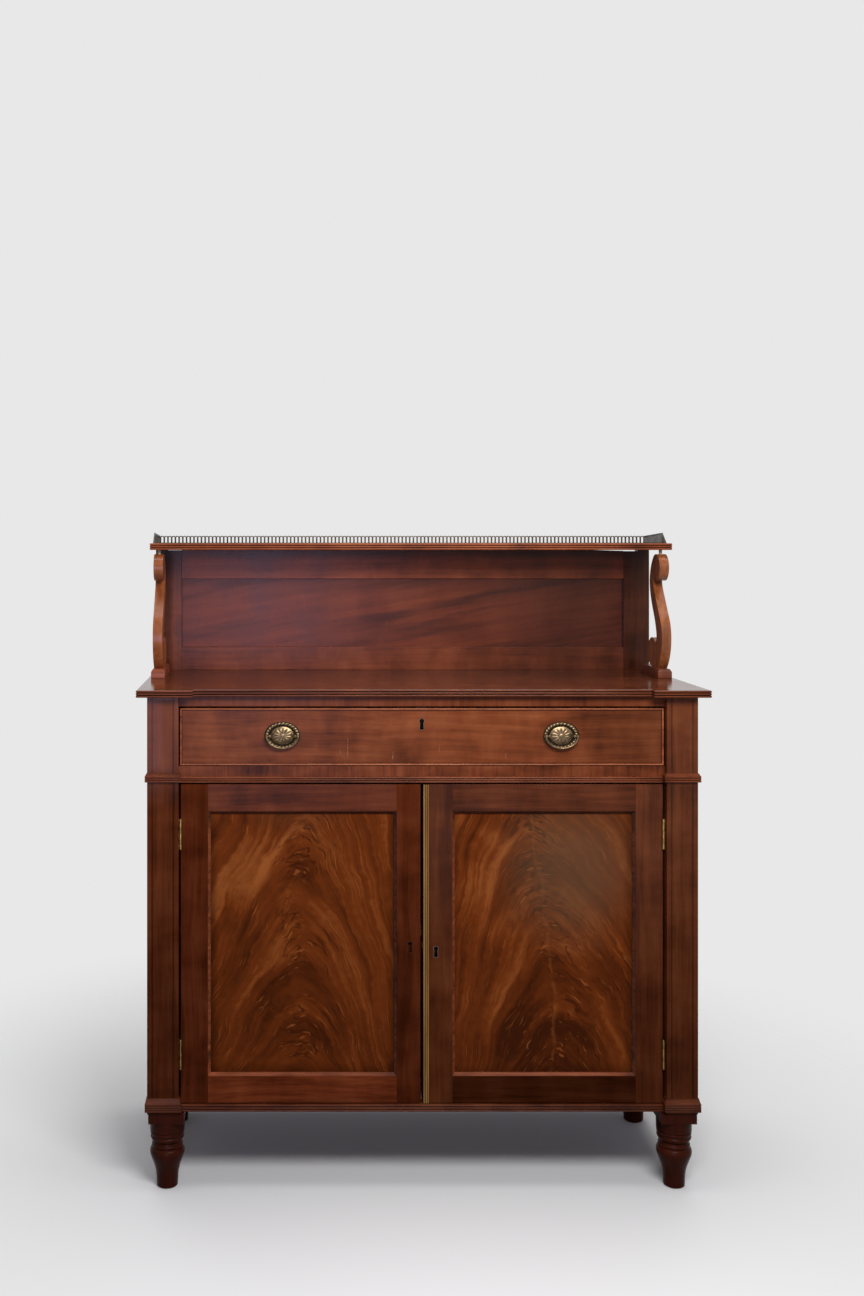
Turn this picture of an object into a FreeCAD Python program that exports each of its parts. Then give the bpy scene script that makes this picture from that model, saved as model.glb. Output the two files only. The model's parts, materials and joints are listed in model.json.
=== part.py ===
import FreeCAD, Part
import math
import os
from FreeCAD import Vector

# A mahogany chiffonier in millimetres. +Z is up, the front faces -Y, +X is the viewer's right.
# The origin is on the floor, under the middle of the top board.

# Top board
top_width = 1060.0
top_depth = 420.0
top_thickness = 13.5
top_end_overhang = 19.0
top_front_overhang = 19.0
top_back_overhang = 15.0
top_corner_width = 105.0
top_corner_projection = 18.0
edge_reed_count = 3
reed_round_share = 0.46

# Heights that stack up from the floor to the top board
foot_turned_height = 126.7
foot_pad_height = 18.5
base_moulding_height = 13.8
door_bottom_gap = 2.0
door_height = 594.0
door_top_gap = 3.0
waist_moulding_height = 11.5
drawer_rail_height = 20.0
drawer_bottom_gap = 1.0
drawer_front_height = 106.5
drawer_top_gap = 3.5
frieze_height = 19.5

# Case
side_thickness = 20.0
pilaster_width = 58.0
pilaster_depth = 30.0
pilaster_proud = 14.0
bottom_thickness = 18.0
back_board_thickness = 10.0
back_board_count = 4
back_board_gap = 1.5
back_board_lap = 8.0
rail_depth = 60.0
tenon_length = 14.0
tenon_thickness = 8.0
tenon_height_share = 0.5

# Mouldings across the front, and the blocks on the pilasters
moulding_proud = 4.0
waist_moulding_seat = 8.0
base_block_rise = 5.4
base_block_height = 24.5
base_block_bevel = 7.8
base_block_reed_count = 4
waist_block_rise = 3.8
waist_block_height = 16.0
waist_block_bevel = 4.0
waist_block_reed_count = 3
block_front = 6.0
block_outer = 4.0
block_inner = 5.0
block_round_share = 0.32
# How far the bevel's lower and upper rims are drawn in
block_bevel_shares = (0.2, 0.75)
block_clearance = 1.0
field_margin = 6.5
field_slope = 3.0
field_depth = 2.4

# Turned feet
foot_pad_width = 66.0
foot_radius = 32.5
foot_end_inset = 2.0
foot_front_inset = 0.5
foot_back_inset = 46.0
sole_round = 1.5
ankle_radius_share = 0.605
# Height as a share of the turned height, radius as a share of the foot's radius
foot_vase_shares = (
    (0.117, 0.622), (0.224, 0.664), (0.307, 0.745), (0.375, 0.843), (0.458, 0.962),
    (0.52, 1.0), (0.566, 0.955), (0.59, 0.855),
)
foot_bead_shares = ((0.597, 0.845), (0.621, 0.9), (0.645, 0.845))
foot_cove_shares = ((0.671, 0.806), (0.69, 0.85), (0.705, 0.93))
foot_lower_ring_shares = ((0.711, 0.93), (0.736, 0.975), (0.762, 0.93))
foot_upper_ring_shares = ((0.77, 0.93), (0.8, 0.985), (0.83, 0.94))
foot_drum_share = 0.838

# Drawer runners, kickers and stops
runner_height = 20.0
runner_reach = 61.0
guide_height = 40.0
guide_clearance = 1.0
kicker_clearance = 1.5
stop_width = 40.0
stop_depth = 20.0
stop_height = 5.0
stop_place = 300.0

# Cupboard shelf
cupboard_shelf_z = 454.5
cupboard_shelf_thickness = 18.0
cupboard_shelf_setback = 36.0
cupboard_shelf_clearance = 0.5
bearer_width = 20.0
bearer_height = 20.0
bearer_setback = 5.0

# Drawer
drawer_side_gap = 2.0
drawer_front_thickness = 20.0
drawer_side_inset = 0.5
drawer_side_thickness = 10.0
drawer_side_drop = 4.5
drawer_back_drop = 4.0
drawer_back_clearance = 15.0
drawer_floor_rise = 7.0
drawer_floor_thickness = 7.0
drawer_groove_depth = 5.0
tail_count = 4
tail_wide_share = 0.74
tail_narrow_share = 0.5
cock_bead_width = 3.2
cock_bead_depth = 10.0
cock_bead_proud = 2.5
bead_round_share = 0.45

# Locks, bolts and keyholes
lock_plate_skin = 2.0
drawer_lock_width = 60.0
drawer_lock_height = 46.0
drawer_bolt_width = 20.0
drawer_bolt_thickness = 6.0
drawer_bolt_length = 24.0
drawer_keyhole_drop = 24.1
door_lock_width = 40.0
door_lock_height = 60.0
door_lock_depth = 12.0
door_bolt_height = 16.0
door_bolt_thickness = 6.0
door_bolt_length = 28.0
door_keyhole_z = 448.5
door_keyhole_inset = 13.0
left_keyhole_inset = 19.4
left_keyhole_rise = 9.0
bolt_setback = 0.5
bolt_clearance = 0.25
drawer_bolt_throw = 9.0
door_bolt_throw = 10.0
bolt_end_clearance = 1.0
keyhole_radius = 4.2
keyhole_length = 15.8
keyhole_waist_share = 0.65
keyhole_foot_share = 0.85
lining_thickness = 1.0
lining_depth = 4.0
keyhole_depth = 3.0
slide_bolt_width = 12.0
slide_bolt_thickness = 5.0
slide_bolt_length = 70.0
slide_bolt_throw = 11.0
slide_bolt_inset = 22.0
slide_bolt_setback = 1.5
slide_plate_width = 24.0
slide_plate_length = 46.0
slide_plate_wall = 2.5
slide_plate_top_drop = 8.0
slide_knob_radius = 3.0
slide_knob_length = 12.0

# Doors
door_thickness = 22.0
hinge_gap = 3.5
meeting_gap = 5.0
hinge_stile_width = 50.5
meeting_stile_width = 44.0
door_top_rail_width = 50.5
door_bottom_rail_width = 49.5
door_tenon_length = 30.0
door_tenon_thickness = 7.0
door_tenon_height_share = 0.6
door_panel_recess = 8.0
door_panel_thickness = 6.0
door_panel_tongue = 8.0
panel_bead_width = 5.0
panel_bead_sink = 1.0
panel_bead_bevel_share = 0.9
strip_width = 10.8
strip_proud = 3.2
strip_reed_count = 3
strip_bulge_share = 0.45
moulding_bulge_share = 0.42
bottom_stop_gap = 0.5

# Butt hinges
hinge_height = 56.0
hinge_end_offset = 92.0
hinge_knuckles = 5
knuckle_radius = 2.6
knuckle_proud = 4.0
knuckle_clearance = 0.3
knuckle_end_gap = 0.2
hinge_leaf_thickness = 1.5
hinge_leaf_depth = 16.0
hinge_leaf_gap = 0.5
hinge_pin_radius = 1.2
hinge_pin_clearance = 0.05

# Handles
handle_spread = 260.0
handle_rise = 2.25
plate_width = 67.0
plate_height = 52.0
plate_thickness = 1.4
plate_rim_width = 5.5
plate_rim_height = 1.2
plate_boss_width = 39.0
plate_boss_height = 30.0
plate_boss_rise = 3.6
plate_boss_round_share = 0.7
post_spread = 23.5
post_ball_radius = 3.4
post_neck_radius = 2.4
post_shank_radius = 2.0
post_shank_length = 14.0
post_shank_clearance = 0.05
post_standoff = 7.5
bail_radius = 2.0
bail_half_width = 29.5
bail_drop = 22.5
bail_pivot_radius = 1.6
bail_pivot_clearance = 0.08
bail_pivot_reach_share = 0.6

# Raised back
upper_back_thickness = 22.0
upper_stile_width = 55.0
upper_bottom_rail_height = 49.0
upper_top_rail_height = 61.4
upper_tenon_length = 25.0
upper_tenon_thickness = 7.0
upper_tenon_height_share = 0.6
upper_panel_recess = 6.0
upper_panel_thickness = 8.0
upper_panel_tongue = 7.0
rail_shelf_gap = 0.6
rail_slope_length = 62.0
rail_slope_drop = 1.8
left_stile_shelf_gap = 1.0
right_stile_shelf_gap = 3.0
stile_horn_width = 25.0

# Scroll supports
plinth_height = 19.0
plinth_width = 28.0
plinth_length = 125.0
plinth_forward = 10.0
plinth_bevel_width = 3.5
plinth_bevel_height = 6.0
scroll_height = 230.5
scroll_depth = 97.0
scroll_thickness = 19.0
scroll_end_inset = 11.5
scroll_forward = 20.0
top_roll_radius = 27.0
top_roll_depth_share = 0.43
foot_roll_radius = 30.0
top_roll_front_angle = -40.0
top_roll_back_angle = 45.0
foot_roll_angle = 140.0
# Depth as a share of the scroll's depth, height as a share of its height
scroll_toe_share = 0.306
scroll_front_shares = (
    (0.092, 0.108), (0.0, 0.256), (0.071, 0.399), (0.245, 0.503), (0.459, 0.625), (0.612, 0.722),
)
scroll_back_shares = (
    (0.796, 0.876), (0.867, 0.768), (0.816, 0.651), (0.684, 0.542), (0.541, 0.451), (0.418, 0.347),
    (0.378, 0.269),
)

# Gallery shelf and its pegs
shelf_end_inset = 3.5
shelf_depth = 195.0
shelf_thickness = 13.5
front_peg_gap = 8.5
peg_radius = 3.3
peg_sink = 8.0
peg_clearance = 0.05

# Pierced brass gallery
gallery_end_inset = 4.5
gallery_back_inset = 15.0
gallery_thickness = 1.2
gallery_height = 16.5
gallery_front_height = 22.0
gallery_return_length = 130.0
gallery_rake = 28.0
gallery_pitch = 8.03
gallery_base_height = 1.8
gallery_rim_height = 1.9
gallery_slot_share = 0.58
gallery_scallop_share = 0.22
gallery_end_margin = 6.0

# One overrun serves every cut that has to pass a face
overrun = 5.0

# Planes worked out from the sizes above
front_y = -top_depth / 2
back_y = top_depth / 2
case_half = top_width / 2 - top_end_overhang
case_front_y = front_y + top_front_overhang
case_back_y = back_y - top_back_overhang
face_y = case_front_y + pilaster_proud
bay_half = case_half - pilaster_width
pilaster_back_y = case_front_y + pilaster_depth
inner_half = case_half - side_thickness
back_board_y = case_back_y - back_board_thickness
rail_back_y = face_y + rail_depth
door_back_y = face_y + door_thickness
bottom_front_y = door_back_y + bottom_stop_gap

case_z = foot_turned_height + foot_pad_height
bottom_top_z = case_z + bottom_thickness
door_z = case_z + base_moulding_height + door_bottom_gap
door_top_z = door_z + door_height
waist_z = door_top_z + door_top_gap
rail_z = waist_z + waist_moulding_height
drawer_floor_z = rail_z + drawer_rail_height
drawer_z = drawer_floor_z + drawer_bottom_gap
drawer_top_z = drawer_z + drawer_front_height
frieze_z = drawer_top_z + drawer_top_gap
case_top_z = frieze_z + frieze_height
top_z = case_top_z + top_thickness
base_block_z = case_z + base_block_rise
base_block_top_z = base_block_z + base_block_height
waist_block_z = waist_z + waist_block_rise
waist_block_top_z = waist_block_z + waist_block_height

scroll_z = top_z + plinth_height
shelf_z = scroll_z + scroll_height + front_peg_gap
shelf_top_z = shelf_z + shelf_thickness
shelf_half = top_width / 2 - shelf_end_inset
shelf_front_y = back_y - shelf_depth
upper_half = top_width / 2
upper_face_y = back_y - upper_back_thickness
upper_top_z = shelf_z - rail_shelf_gap
scroll_outer = top_width / 2 - scroll_end_inset
scroll_middle = scroll_outer - scroll_thickness / 2
scroll_front_y = shelf_front_y - scroll_forward
peg_front_y = scroll_front_y + scroll_depth * top_roll_depth_share
peg_back_y = back_y - upper_back_thickness / 2
peg_back_x = upper_half - stile_horn_width / 2
peg_length = 2 * peg_sink + front_peg_gap

door_half = bay_half - hinge_gap
meet = meeting_gap / 2
hinge_axis_x = bay_half - knuckle_clearance - knuckle_radius
hinge_axis_y = face_y - knuckle_proud

drawer_half = bay_half - drawer_side_gap
drawer_front_back_y = face_y + drawer_front_thickness
drawer_side_half = drawer_half - drawer_side_inset
drawer_inner_half = drawer_side_half - drawer_side_thickness
drawer_back_y = back_board_y - drawer_back_clearance
drawer_side_top_z = drawer_top_z - drawer_side_drop
drawer_floor_low_z = drawer_z + drawer_floor_rise
drawer_floor_top_z = drawer_floor_low_z + drawer_floor_thickness
drawer_lock_y = face_y + cock_bead_depth
drawer_bolt_y = (drawer_lock_y + drawer_front_back_y) / 2
drawer_middle_z = (drawer_z + drawer_top_z) / 2
drawer_keyhole_z = drawer_top_z - drawer_keyhole_drop
handle_z = drawer_middle_z + handle_rise
door_lock_y = door_back_y - door_lock_depth
door_bolt_y = (door_lock_y + door_back_y) / 2
handle_axis_y = face_y - plate_thickness - post_standoff
slide_bolt_y = door_back_y + slide_plate_wall + slide_bolt_thickness / 2
slide_bolt_x = -meet - slide_bolt_inset
slide_bolt_top_z = door_top_z - slide_bolt_setback

parts = {}


def keep(node, *solids):
    """Files the solids of one node."""
    parts[node] = list(solids)


def box(x0, x1, y0, y1, z0, z1):
    """A box between two corners."""
    return Part.makeBox(x1 - x0, y1 - y0, z1 - z0, Vector(x0, y0, z0))


def mirrored(shape):
    """The same piece on the other side of the middle."""
    return shape.mirror(Vector(0, 0, 0), Vector(1, 0, 0))


def both_sides(shape):
    """A left and a right piece, from the right one."""
    return mirrored(shape), shape


def prism(points, direction):
    """A flat outline of straight runs, pushed along a direction."""
    wire = Part.makePolygon(points + points[:1])
    return Part.Face(wire).extrude(direction)


def wire_face(edges):
    """A face inside a chain of edges."""
    return Part.Face(Part.Wire(Part.__sortEdges__(edges)))


def cylinder(radius, start, end):
    """A round bar between two points."""
    along = end.sub(start)
    return Part.makeCylinder(radius, along.Length, start, along)


def joined(first, *others):
    """Several overlapping or touching solids as one."""
    return first.fuse(list(others)).removeSplitter()


def reeded_board(outline, z_low, thickness, back, reeds, round_share):
    """A board whose edge is worked into stacked round reeds, apart from its straight back edge."""
    reed = thickness / reeds
    layers = []
    for index in range(reeds):
        low = z_low + index * reed
        points = [Vector(x, y, low) for x, y in outline]
        slab = prism(points, Vector(0, 0, reed))
        rims = []
        for edge in slab.Edges:
            middle = edge.CenterOfMass
            flat = edge.BoundBox.ZLength < reed / 2
            if flat and middle.y < back - reed / 2:
                rims.append(edge)
        layers.append(slab.makeFillet(reed * round_share, rims))
    return joined(*layers)


def reeded_strip(x0, x1, y_front, y_back, z0, z1, reeds, bulge_share):
    """A straight moulding along X with round reeds on its front."""
    reed = (z1 - z0) / reeds
    hollow_y = y_front + reed * bulge_share
    edges = []
    for index in range(reeds):
        low = z0 + index * reed
        start = Vector(x0, hollow_y, low)
        crown = Vector(x0, y_front, low + reed / 2)
        end = Vector(x0, hollow_y, low + reed)
        edges.append(Part.Arc(start, crown, end).toShape())
    corners = [Vector(x0, y, z) for y, z in ((hollow_y, z1), (y_back, z1), (y_back, z0), (hollow_y, z0))]
    for start, end in zip(corners, corners[1:]):
        edges.append(Part.makeLine(start, end))
    return wire_face(edges).extrude(Vector(x1 - x0, 0, 0))


def front_edge(solid, y, ends):
    """The edge of a solid that runs between two ends on its front."""
    (ax, az), (bx, bz) = ends
    middle = Vector((ax + bx) / 2, y, (az + bz) / 2)
    return min(solid.Edges, key=lambda edge: edge.CenterOfMass.sub(middle).Length)


def mitred_frame(x0, x1, z0, z1, width, y_front, y_back):
    """Four mitred strips round an opening, each with its outer and its inner front edge."""
    outer = [(x0, z0), (x1, z0), (x1, z1), (x0, z1)]
    near_x, far_x = x0 + width, x1 - width
    near_z, far_z = z0 + width, z1 - width
    inner = [(near_x, near_z), (far_x, near_z), (far_x, far_z), (near_x, far_z)]
    strips = []
    for index in range(len(outer)):
        after = (index + 1) % len(outer)
        flat = [outer[index], outer[after], inner[after], inner[index]]
        strip = prism([Vector(x, y_back, z) for x, z in flat], Vector(0, y_front - y_back, 0))
        strips.append((strip, front_edge(strip, y_front, flat[:2]), front_edge(strip, y_front, flat[2:])))
    return strips


def keyhole(x, z, grow, y0, y1):
    """A keyhole along Y: a round head over a leg that narrows and flares again."""
    head = cylinder(keyhole_radius + grow, Vector(x, y0, z), Vector(x, y1, z))
    waist = keyhole_radius * keyhole_waist_share + grow
    foot = keyhole_radius * keyhole_foot_share + grow
    low = z - keyhole_length - grow
    points = [(x - waist, z), (x - foot, low), (x + foot, low), (x + waist, z)]
    leg = prism([Vector(px, y0, pz) for px, pz in points], Vector(0, y1 - y0, 0))
    return joined(head, leg)


def keyhole_lining(x, z):
    """The thin brass ring let into the wood round a keyhole."""
    ring = keyhole(x, z, lining_thickness, face_y, face_y + lining_depth)
    return ring.cut(keyhole(x, z, 0, face_y - overrun, face_y + lining_depth + overrun))


def cut_keyhole(board, x, z, depth):
    """Cuts a keyhole through a board, with the seat for its lining."""
    board = board.cut(keyhole(x, z, lining_thickness, face_y - overrun, face_y + lining_depth))
    return board.cut(keyhole(x, z, 0, face_y - overrun, face_y + depth))


def make_top():
    """The top board, broken back between its two corners."""
    half = top_width / 2
    corner = half - top_corner_width
    recess_y = front_y + top_corner_projection
    outline = [
        (-half, front_y), (-corner, front_y), (-corner, recess_y), (corner, recess_y),
        (corner, front_y), (half, front_y), (half, back_y), (-half, back_y),
    ]
    keep("top_board", reeded_board(
        outline, case_top_z, top_thickness, back_y, edge_reed_count, reed_round_share))


def rail_tenon(side, low, height):
    """The stub tenon on one end of a front rail."""
    middle_y = (face_y + pilaster_back_y) / 2
    middle_z = low + height / 2
    reach = bay_half + tenon_length
    y0 = middle_y - tenon_thickness / 2
    y1 = middle_y + tenon_thickness / 2
    z0 = middle_z - height * tenon_height_share / 2
    z1 = middle_z + height * tenon_height_share / 2
    tenon = box(bay_half, reach, y0, y1, z0, z1)
    return tenon if side > 0 else mirrored(tenon)


def block_outline(inset_share):
    """The outline of a pilaster's block, drawn in by a share of what stands out."""
    x0 = bay_half - block_inner * (1 - inset_share)
    x1 = case_half + block_outer * (1 - inset_share)
    y0 = case_front_y - block_front * (1 - inset_share)
    return [(x0, y0), (x1, y0), (x1, pilaster_back_y), (x0, pilaster_back_y)]


def pilaster_block(pilaster, low, height, bevel, reeds):
    """The block round the right pilaster, reeded, bevelled on top and cut clear of the doors."""
    high = low + height
    reeded = reeded_board(
        block_outline(0), low, height - bevel, pilaster_back_y, reeds, block_round_share)
    rims = []
    for share, z in zip(block_bevel_shares, (high - bevel, high)):
        corners = [Vector(x, y, z) for x, y in block_outline(share)]
        rims.append(Part.makePolygon(corners + corners[:1]))
    block = joined(reeded, Part.makeLoft(rims, True, True))
    inside = box(
        bay_half - block_inner - overrun, bay_half, face_y - block_clearance, pilaster_back_y + overrun,
        low - overrun, high + overrun)
    return block.cut([pilaster, inside])


def sunk_field(low, high):
    """The sloped hollow of a sunk field on the right pilaster, between two heights."""
    rims = []
    for inset, y in ((field_margin, case_front_y), (field_margin + field_slope, case_front_y + field_depth)):
        x0, x1 = bay_half + inset, case_half - inset
        z0, z1 = low + inset, high - inset
        corners = [(x0, z0), (x1, z0), (x1, z1), (x0, z1), (x0, z0)]
        rims.append(Part.makePolygon([Vector(x, y, z) for x, z in corners]))
    return Part.makeLoft(rims, True, True)


def make_pilasters():
    """The two pilasters, sunk in front and mortised for the rails, and the blocks on them."""
    pilaster = box(bay_half, case_half, case_front_y, pilaster_back_y, case_z, case_top_z)
    base = pilaster_block(
        pilaster, base_block_z, base_block_height, base_block_bevel, base_block_reed_count)
    waist = pilaster_block(
        pilaster, waist_block_z, waist_block_height, waist_block_bevel, waist_block_reed_count)
    keep("pilaster_blocks", *both_sides(base), *both_sides(waist))
    for low, high in ((base_block_top_z, waist_block_z), (waist_block_top_z, case_top_z)):
        pilaster = pilaster.cut(sunk_field(low, high))
    for low, height in ((rail_z, drawer_rail_height), (frieze_z, frieze_height)):
        pilaster = pilaster.cut(rail_tenon(1, low, height))
    left, right = both_sides(pilaster)
    keep("left_pilaster", left)
    keep("right_pilaster", right)


def make_case():
    """End panels and bottom board."""
    side = box(inner_half, case_half, pilaster_back_y, case_back_y, case_z, case_top_z)
    left, right = both_sides(side)
    keep("left_side_panel", left)
    keep("right_side_panel", right)
    keep("bottom_board", box(-inner_half, inner_half, bottom_front_y, back_board_y, case_z, bottom_top_z))


def make_back_boards():
    """Upright boards. The front half of each laps over the next one, so no light comes through."""
    pitch = (2 * inner_half + back_board_gap) / back_board_count
    middle_y = (back_board_y + case_back_y) / 2
    last = back_board_count - 1
    boards = []
    for index in range(back_board_count):
        x0 = -inner_half + index * pitch
        x1 = x0 + pitch - back_board_gap
        lap_x0 = x0 + back_board_lap if index > 0 else x0
        lap_x1 = x1 + back_board_lap if index < last else x1
        back_half = box(x0, x1, middle_y, case_back_y, case_z, case_top_z)
        boards.append(joined(back_half, box(lap_x0, lap_x1, back_board_y, middle_y, case_z, case_top_z)))
    keep("back_boards", *boards)


def make_front_rails():
    """The frieze rail, the drawer rail and the reeded mouldings."""
    moulding_y = face_y - moulding_proud
    seat_y = face_y + waist_moulding_seat
    blocks = parts["pilaster_blocks"]
    waist = reeded_strip(
        -bay_half, bay_half, moulding_y, seat_y, waist_z, rail_z, edge_reed_count, moulding_bulge_share)
    base = reeded_strip(
        -bay_half, bay_half, moulding_y, bottom_front_y, case_z, case_z + base_moulding_height,
        edge_reed_count, moulding_bulge_share)
    keep("waist_moulding", waist.cut(blocks))
    keep("base_moulding", base.cut(blocks))

    frieze = box(-bay_half, bay_half, face_y, rail_back_y, frieze_z, case_top_z)
    bolt_half = drawer_bolt_width / 2 + bolt_clearance
    bolt_y0 = drawer_bolt_y - drawer_bolt_thickness / 2 - bolt_clearance
    bolt_y1 = drawer_bolt_y + drawer_bolt_thickness / 2 + bolt_clearance
    mortise_top = drawer_top_z - bolt_setback + drawer_bolt_throw + bolt_end_clearance
    frieze = frieze.cut(box(-bolt_half, bolt_half, bolt_y0, bolt_y1, frieze_z - overrun, mortise_top))
    keep("frieze_rail", joined(frieze, *[rail_tenon(side, frieze_z, frieze_height) for side in (-1, 1)]))

    rail = box(-bay_half, bay_half, face_y, rail_back_y, waist_z, drawer_floor_z)
    rail = rail.cut(box(-bay_half, bay_half, face_y - overrun, seat_y, waist_z - overrun, rail_z))
    slide_half = slide_bolt_width / 2 + bolt_clearance
    slide_y0 = slide_bolt_y - slide_bolt_thickness / 2 - bolt_clearance
    slide_y1 = slide_bolt_y + slide_bolt_thickness / 2 + bolt_clearance
    slide_top = slide_bolt_top_z + slide_bolt_throw + bolt_end_clearance
    rail = rail.cut(box(
        slide_bolt_x - slide_half, slide_bolt_x + slide_half, slide_y0, slide_y1,
        waist_z - overrun, slide_top))
    keep("drawer_rail", joined(rail, *[rail_tenon(side, rail_z, drawer_rail_height) for side in (-1, 1)]))


def foot_point(share):
    """A point of the foot's profile, from its height and radius shares."""
    return Vector(foot_radius * share[1], 0, foot_turned_height * share[0])


def turned_foot():
    """One foot on the Z axis: a vase, a bead, a cove, two rings and a drum under a square pad."""
    ankle = foot_radius * ankle_radius_share
    centre = Vector(0, 0, 0)
    sole = Vector(ankle - sole_round, 0, 0)
    heel = Vector(ankle, 0, sole_round)
    vase = Part.BSplineCurve()
    vase.interpolate([heel] + [foot_point(share) for share in foot_vase_shares])
    edges = [Part.makeLine(centre, sole), Part.makeLine(sole, heel), vase.toShape()]
    last = foot_point(foot_vase_shares[-1])
    for shares in (foot_bead_shares, foot_cove_shares, foot_lower_ring_shares, foot_upper_ring_shares):
        arc = [foot_point(share) for share in shares]
        edges.append(Part.makeLine(last, arc[0]))
        edges.append(Part.Arc(*arc).toShape())
        last = arc[-1]
    drum = [foot_point((foot_drum_share, 1)), foot_point((1, 1)), foot_point((1, 0)), centre]
    for point in drum:
        edges.append(Part.makeLine(last, point))
        last = point
    turned = wire_face(edges).revolve(centre, Vector(0, 0, 1), 360)
    half = foot_pad_width / 2
    return joined(turned, box(-half, half, -half, half, foot_turned_height, case_z))


def make_feet():
    """Four alike feet under the corners of the case."""
    foot = turned_foot()
    x = case_half - foot_end_inset - foot_pad_width / 2
    places = {
        "front_feet": case_front_y + foot_front_inset + foot_pad_width / 2,
        "back_feet": case_back_y - foot_back_inset - foot_pad_width / 2,
    }
    for node, y in places.items():
        feet = []
        for side in (-1, 1):
            placed = foot.copy()
            placed.translate(Vector(side * x, y, 0))
            feet.append(placed)
        keep(node, *feet)


def make_drawer_bearings():
    """Runners with their guides, kickers and stops for the drawer."""
    x0 = inner_half - runner_reach
    runner = box(x0, inner_half, rail_back_y, back_board_y, drawer_z - runner_height, drawer_z)
    guide = box(
        drawer_side_half + guide_clearance, inner_half, rail_back_y, back_board_y,
        drawer_z, drawer_z + guide_height)
    keep("drawer_runners", *both_sides(joined(runner, guide)))
    kicker = box(x0, inner_half, rail_back_y, back_board_y, drawer_side_top_z + kicker_clearance, case_top_z)
    keep("drawer_kickers", *both_sides(kicker))
    stop = box(
        stop_place - stop_width / 2, stop_place + stop_width / 2, drawer_front_back_y,
        drawer_front_back_y + stop_depth, drawer_floor_z, drawer_floor_z + stop_height)
    keep("drawer_stops", *both_sides(stop))


def make_cupboard_shelf():
    """The loose shelf in the cupboard, on its two bearers."""
    y0 = bottom_front_y + cupboard_shelf_setback
    y1 = back_board_y - cupboard_shelf_clearance
    reach = inner_half - cupboard_shelf_clearance
    keep("cupboard_shelf", box(
        -reach, reach, y0, y1, cupboard_shelf_z, cupboard_shelf_z + cupboard_shelf_thickness))
    bearer = box(
        inner_half - bearer_width, inner_half, y0 + bearer_setback, y1 - bearer_setback,
        cupboard_shelf_z - bearer_height, cupboard_shelf_z)
    keep("shelf_bearers", *both_sides(bearer))


def make_drawer():
    """The drawer: front, cock beads, dovetailed sides, back and bottom."""
    front = box(-drawer_half, drawer_half, face_y, drawer_front_back_y, drawer_z, drawer_top_z)
    core = box(
        -drawer_half + cock_bead_width, drawer_half - cock_bead_width, face_y, face_y + cock_bead_depth,
        drawer_z + cock_bead_width, drawer_top_z - cock_bead_width)
    front = joined(front.cut(box(
        -drawer_half, drawer_half, face_y, face_y + cock_bead_depth, drawer_z, drawer_top_z)), core)
    strips = mitred_frame(
        -drawer_half, drawer_half, drawer_z, drawer_top_z, cock_bead_width,
        face_y - cock_bead_proud, face_y + cock_bead_depth)
    nose = cock_bead_width * bead_round_share
    keep("drawer_cock_beads", *[strip.makeFillet(nose, [outer, inner]) for strip, outer, inner in strips])

    side = box(
        drawer_inner_half, drawer_side_half, drawer_front_back_y, drawer_back_y, drawer_z, drawer_side_top_z)
    tail_pitch = (drawer_side_top_z - drawer_z) / tail_count
    tail_y = face_y + cock_bead_depth
    tails = []
    for index in range(tail_count):
        middle = drawer_z + (index + 1 / 2) * tail_pitch
        wide = tail_pitch * tail_wide_share / 2
        narrow = tail_pitch * tail_narrow_share / 2
        points = [
            (drawer_front_back_y, middle - narrow), (tail_y, middle - wide),
            (tail_y, middle + wide), (drawer_front_back_y, middle + narrow),
        ]
        outline = [Vector(drawer_inner_half, y, z) for y, z in points]
        tails.append(prism(outline, Vector(drawer_side_thickness, 0, 0)))
    side = joined(side, *tails)
    floor = box(
        -drawer_inner_half - drawer_groove_depth, drawer_inner_half + drawer_groove_depth,
        drawer_front_back_y - drawer_groove_depth, drawer_back_y, drawer_floor_low_z, drawer_floor_top_z)
    left, right = both_sides(side)
    for sunk in (left, right, floor):
        front = front.cut(sunk)
    lock_half = drawer_lock_width / 2
    front = front.cut(box(
        -lock_half, lock_half, drawer_lock_y, drawer_front_back_y + overrun,
        drawer_top_z - drawer_lock_height, drawer_top_z + overrun))
    front = cut_keyhole(front, 0, drawer_keyhole_z, drawer_front_thickness)
    hole_radius = post_shank_radius + post_shank_clearance
    for x in handle_post_places():
        start = Vector(x, face_y - overrun, handle_z)
        end = Vector(x, face_y + post_shank_length - plate_thickness, handle_z)
        front = front.cut(cylinder(hole_radius, start, end))
    keep("drawer_front", front)
    keep("drawer_sides", left.cut(floor), right.cut(floor))
    keep("drawer_bottom", floor)
    keep("drawer_back", box(
        -drawer_inner_half, drawer_inner_half, drawer_back_y - drawer_side_thickness, drawer_back_y,
        drawer_floor_top_z, drawer_side_top_z - drawer_back_drop))
    keep("drawer_keyhole_lining", keyhole_lining(0, drawer_keyhole_z))


def make_drawer_lock():
    """The drawer's lock, let into the back of its front, and the bolt that rises out of it."""
    half = drawer_lock_width / 2
    lock = box(
        -half, half, drawer_lock_y, drawer_front_back_y, drawer_top_z - drawer_lock_height, drawer_top_z)
    bolt_top = drawer_top_z - bolt_setback
    bolt_half = drawer_bolt_width / 2
    y0 = drawer_bolt_y - drawer_bolt_thickness / 2
    y1 = drawer_bolt_y + drawer_bolt_thickness / 2
    bolt = box(-bolt_half, bolt_half, y0, y1, bolt_top - drawer_bolt_length, bolt_top)
    channel = box(
        -bolt_half - bolt_clearance, bolt_half + bolt_clearance, y0 - bolt_clearance, y1 + bolt_clearance,
        bolt_top - drawer_bolt_length, drawer_top_z + overrun)
    lock = lock.cut(channel)
    lock = lock.cut(keyhole(
        0, drawer_keyhole_z, 0, drawer_lock_y - overrun, drawer_lock_y + lock_plate_skin))
    keep("drawer_lock", lock)
    keep("drawer_lock_bolt", bolt)


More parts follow.
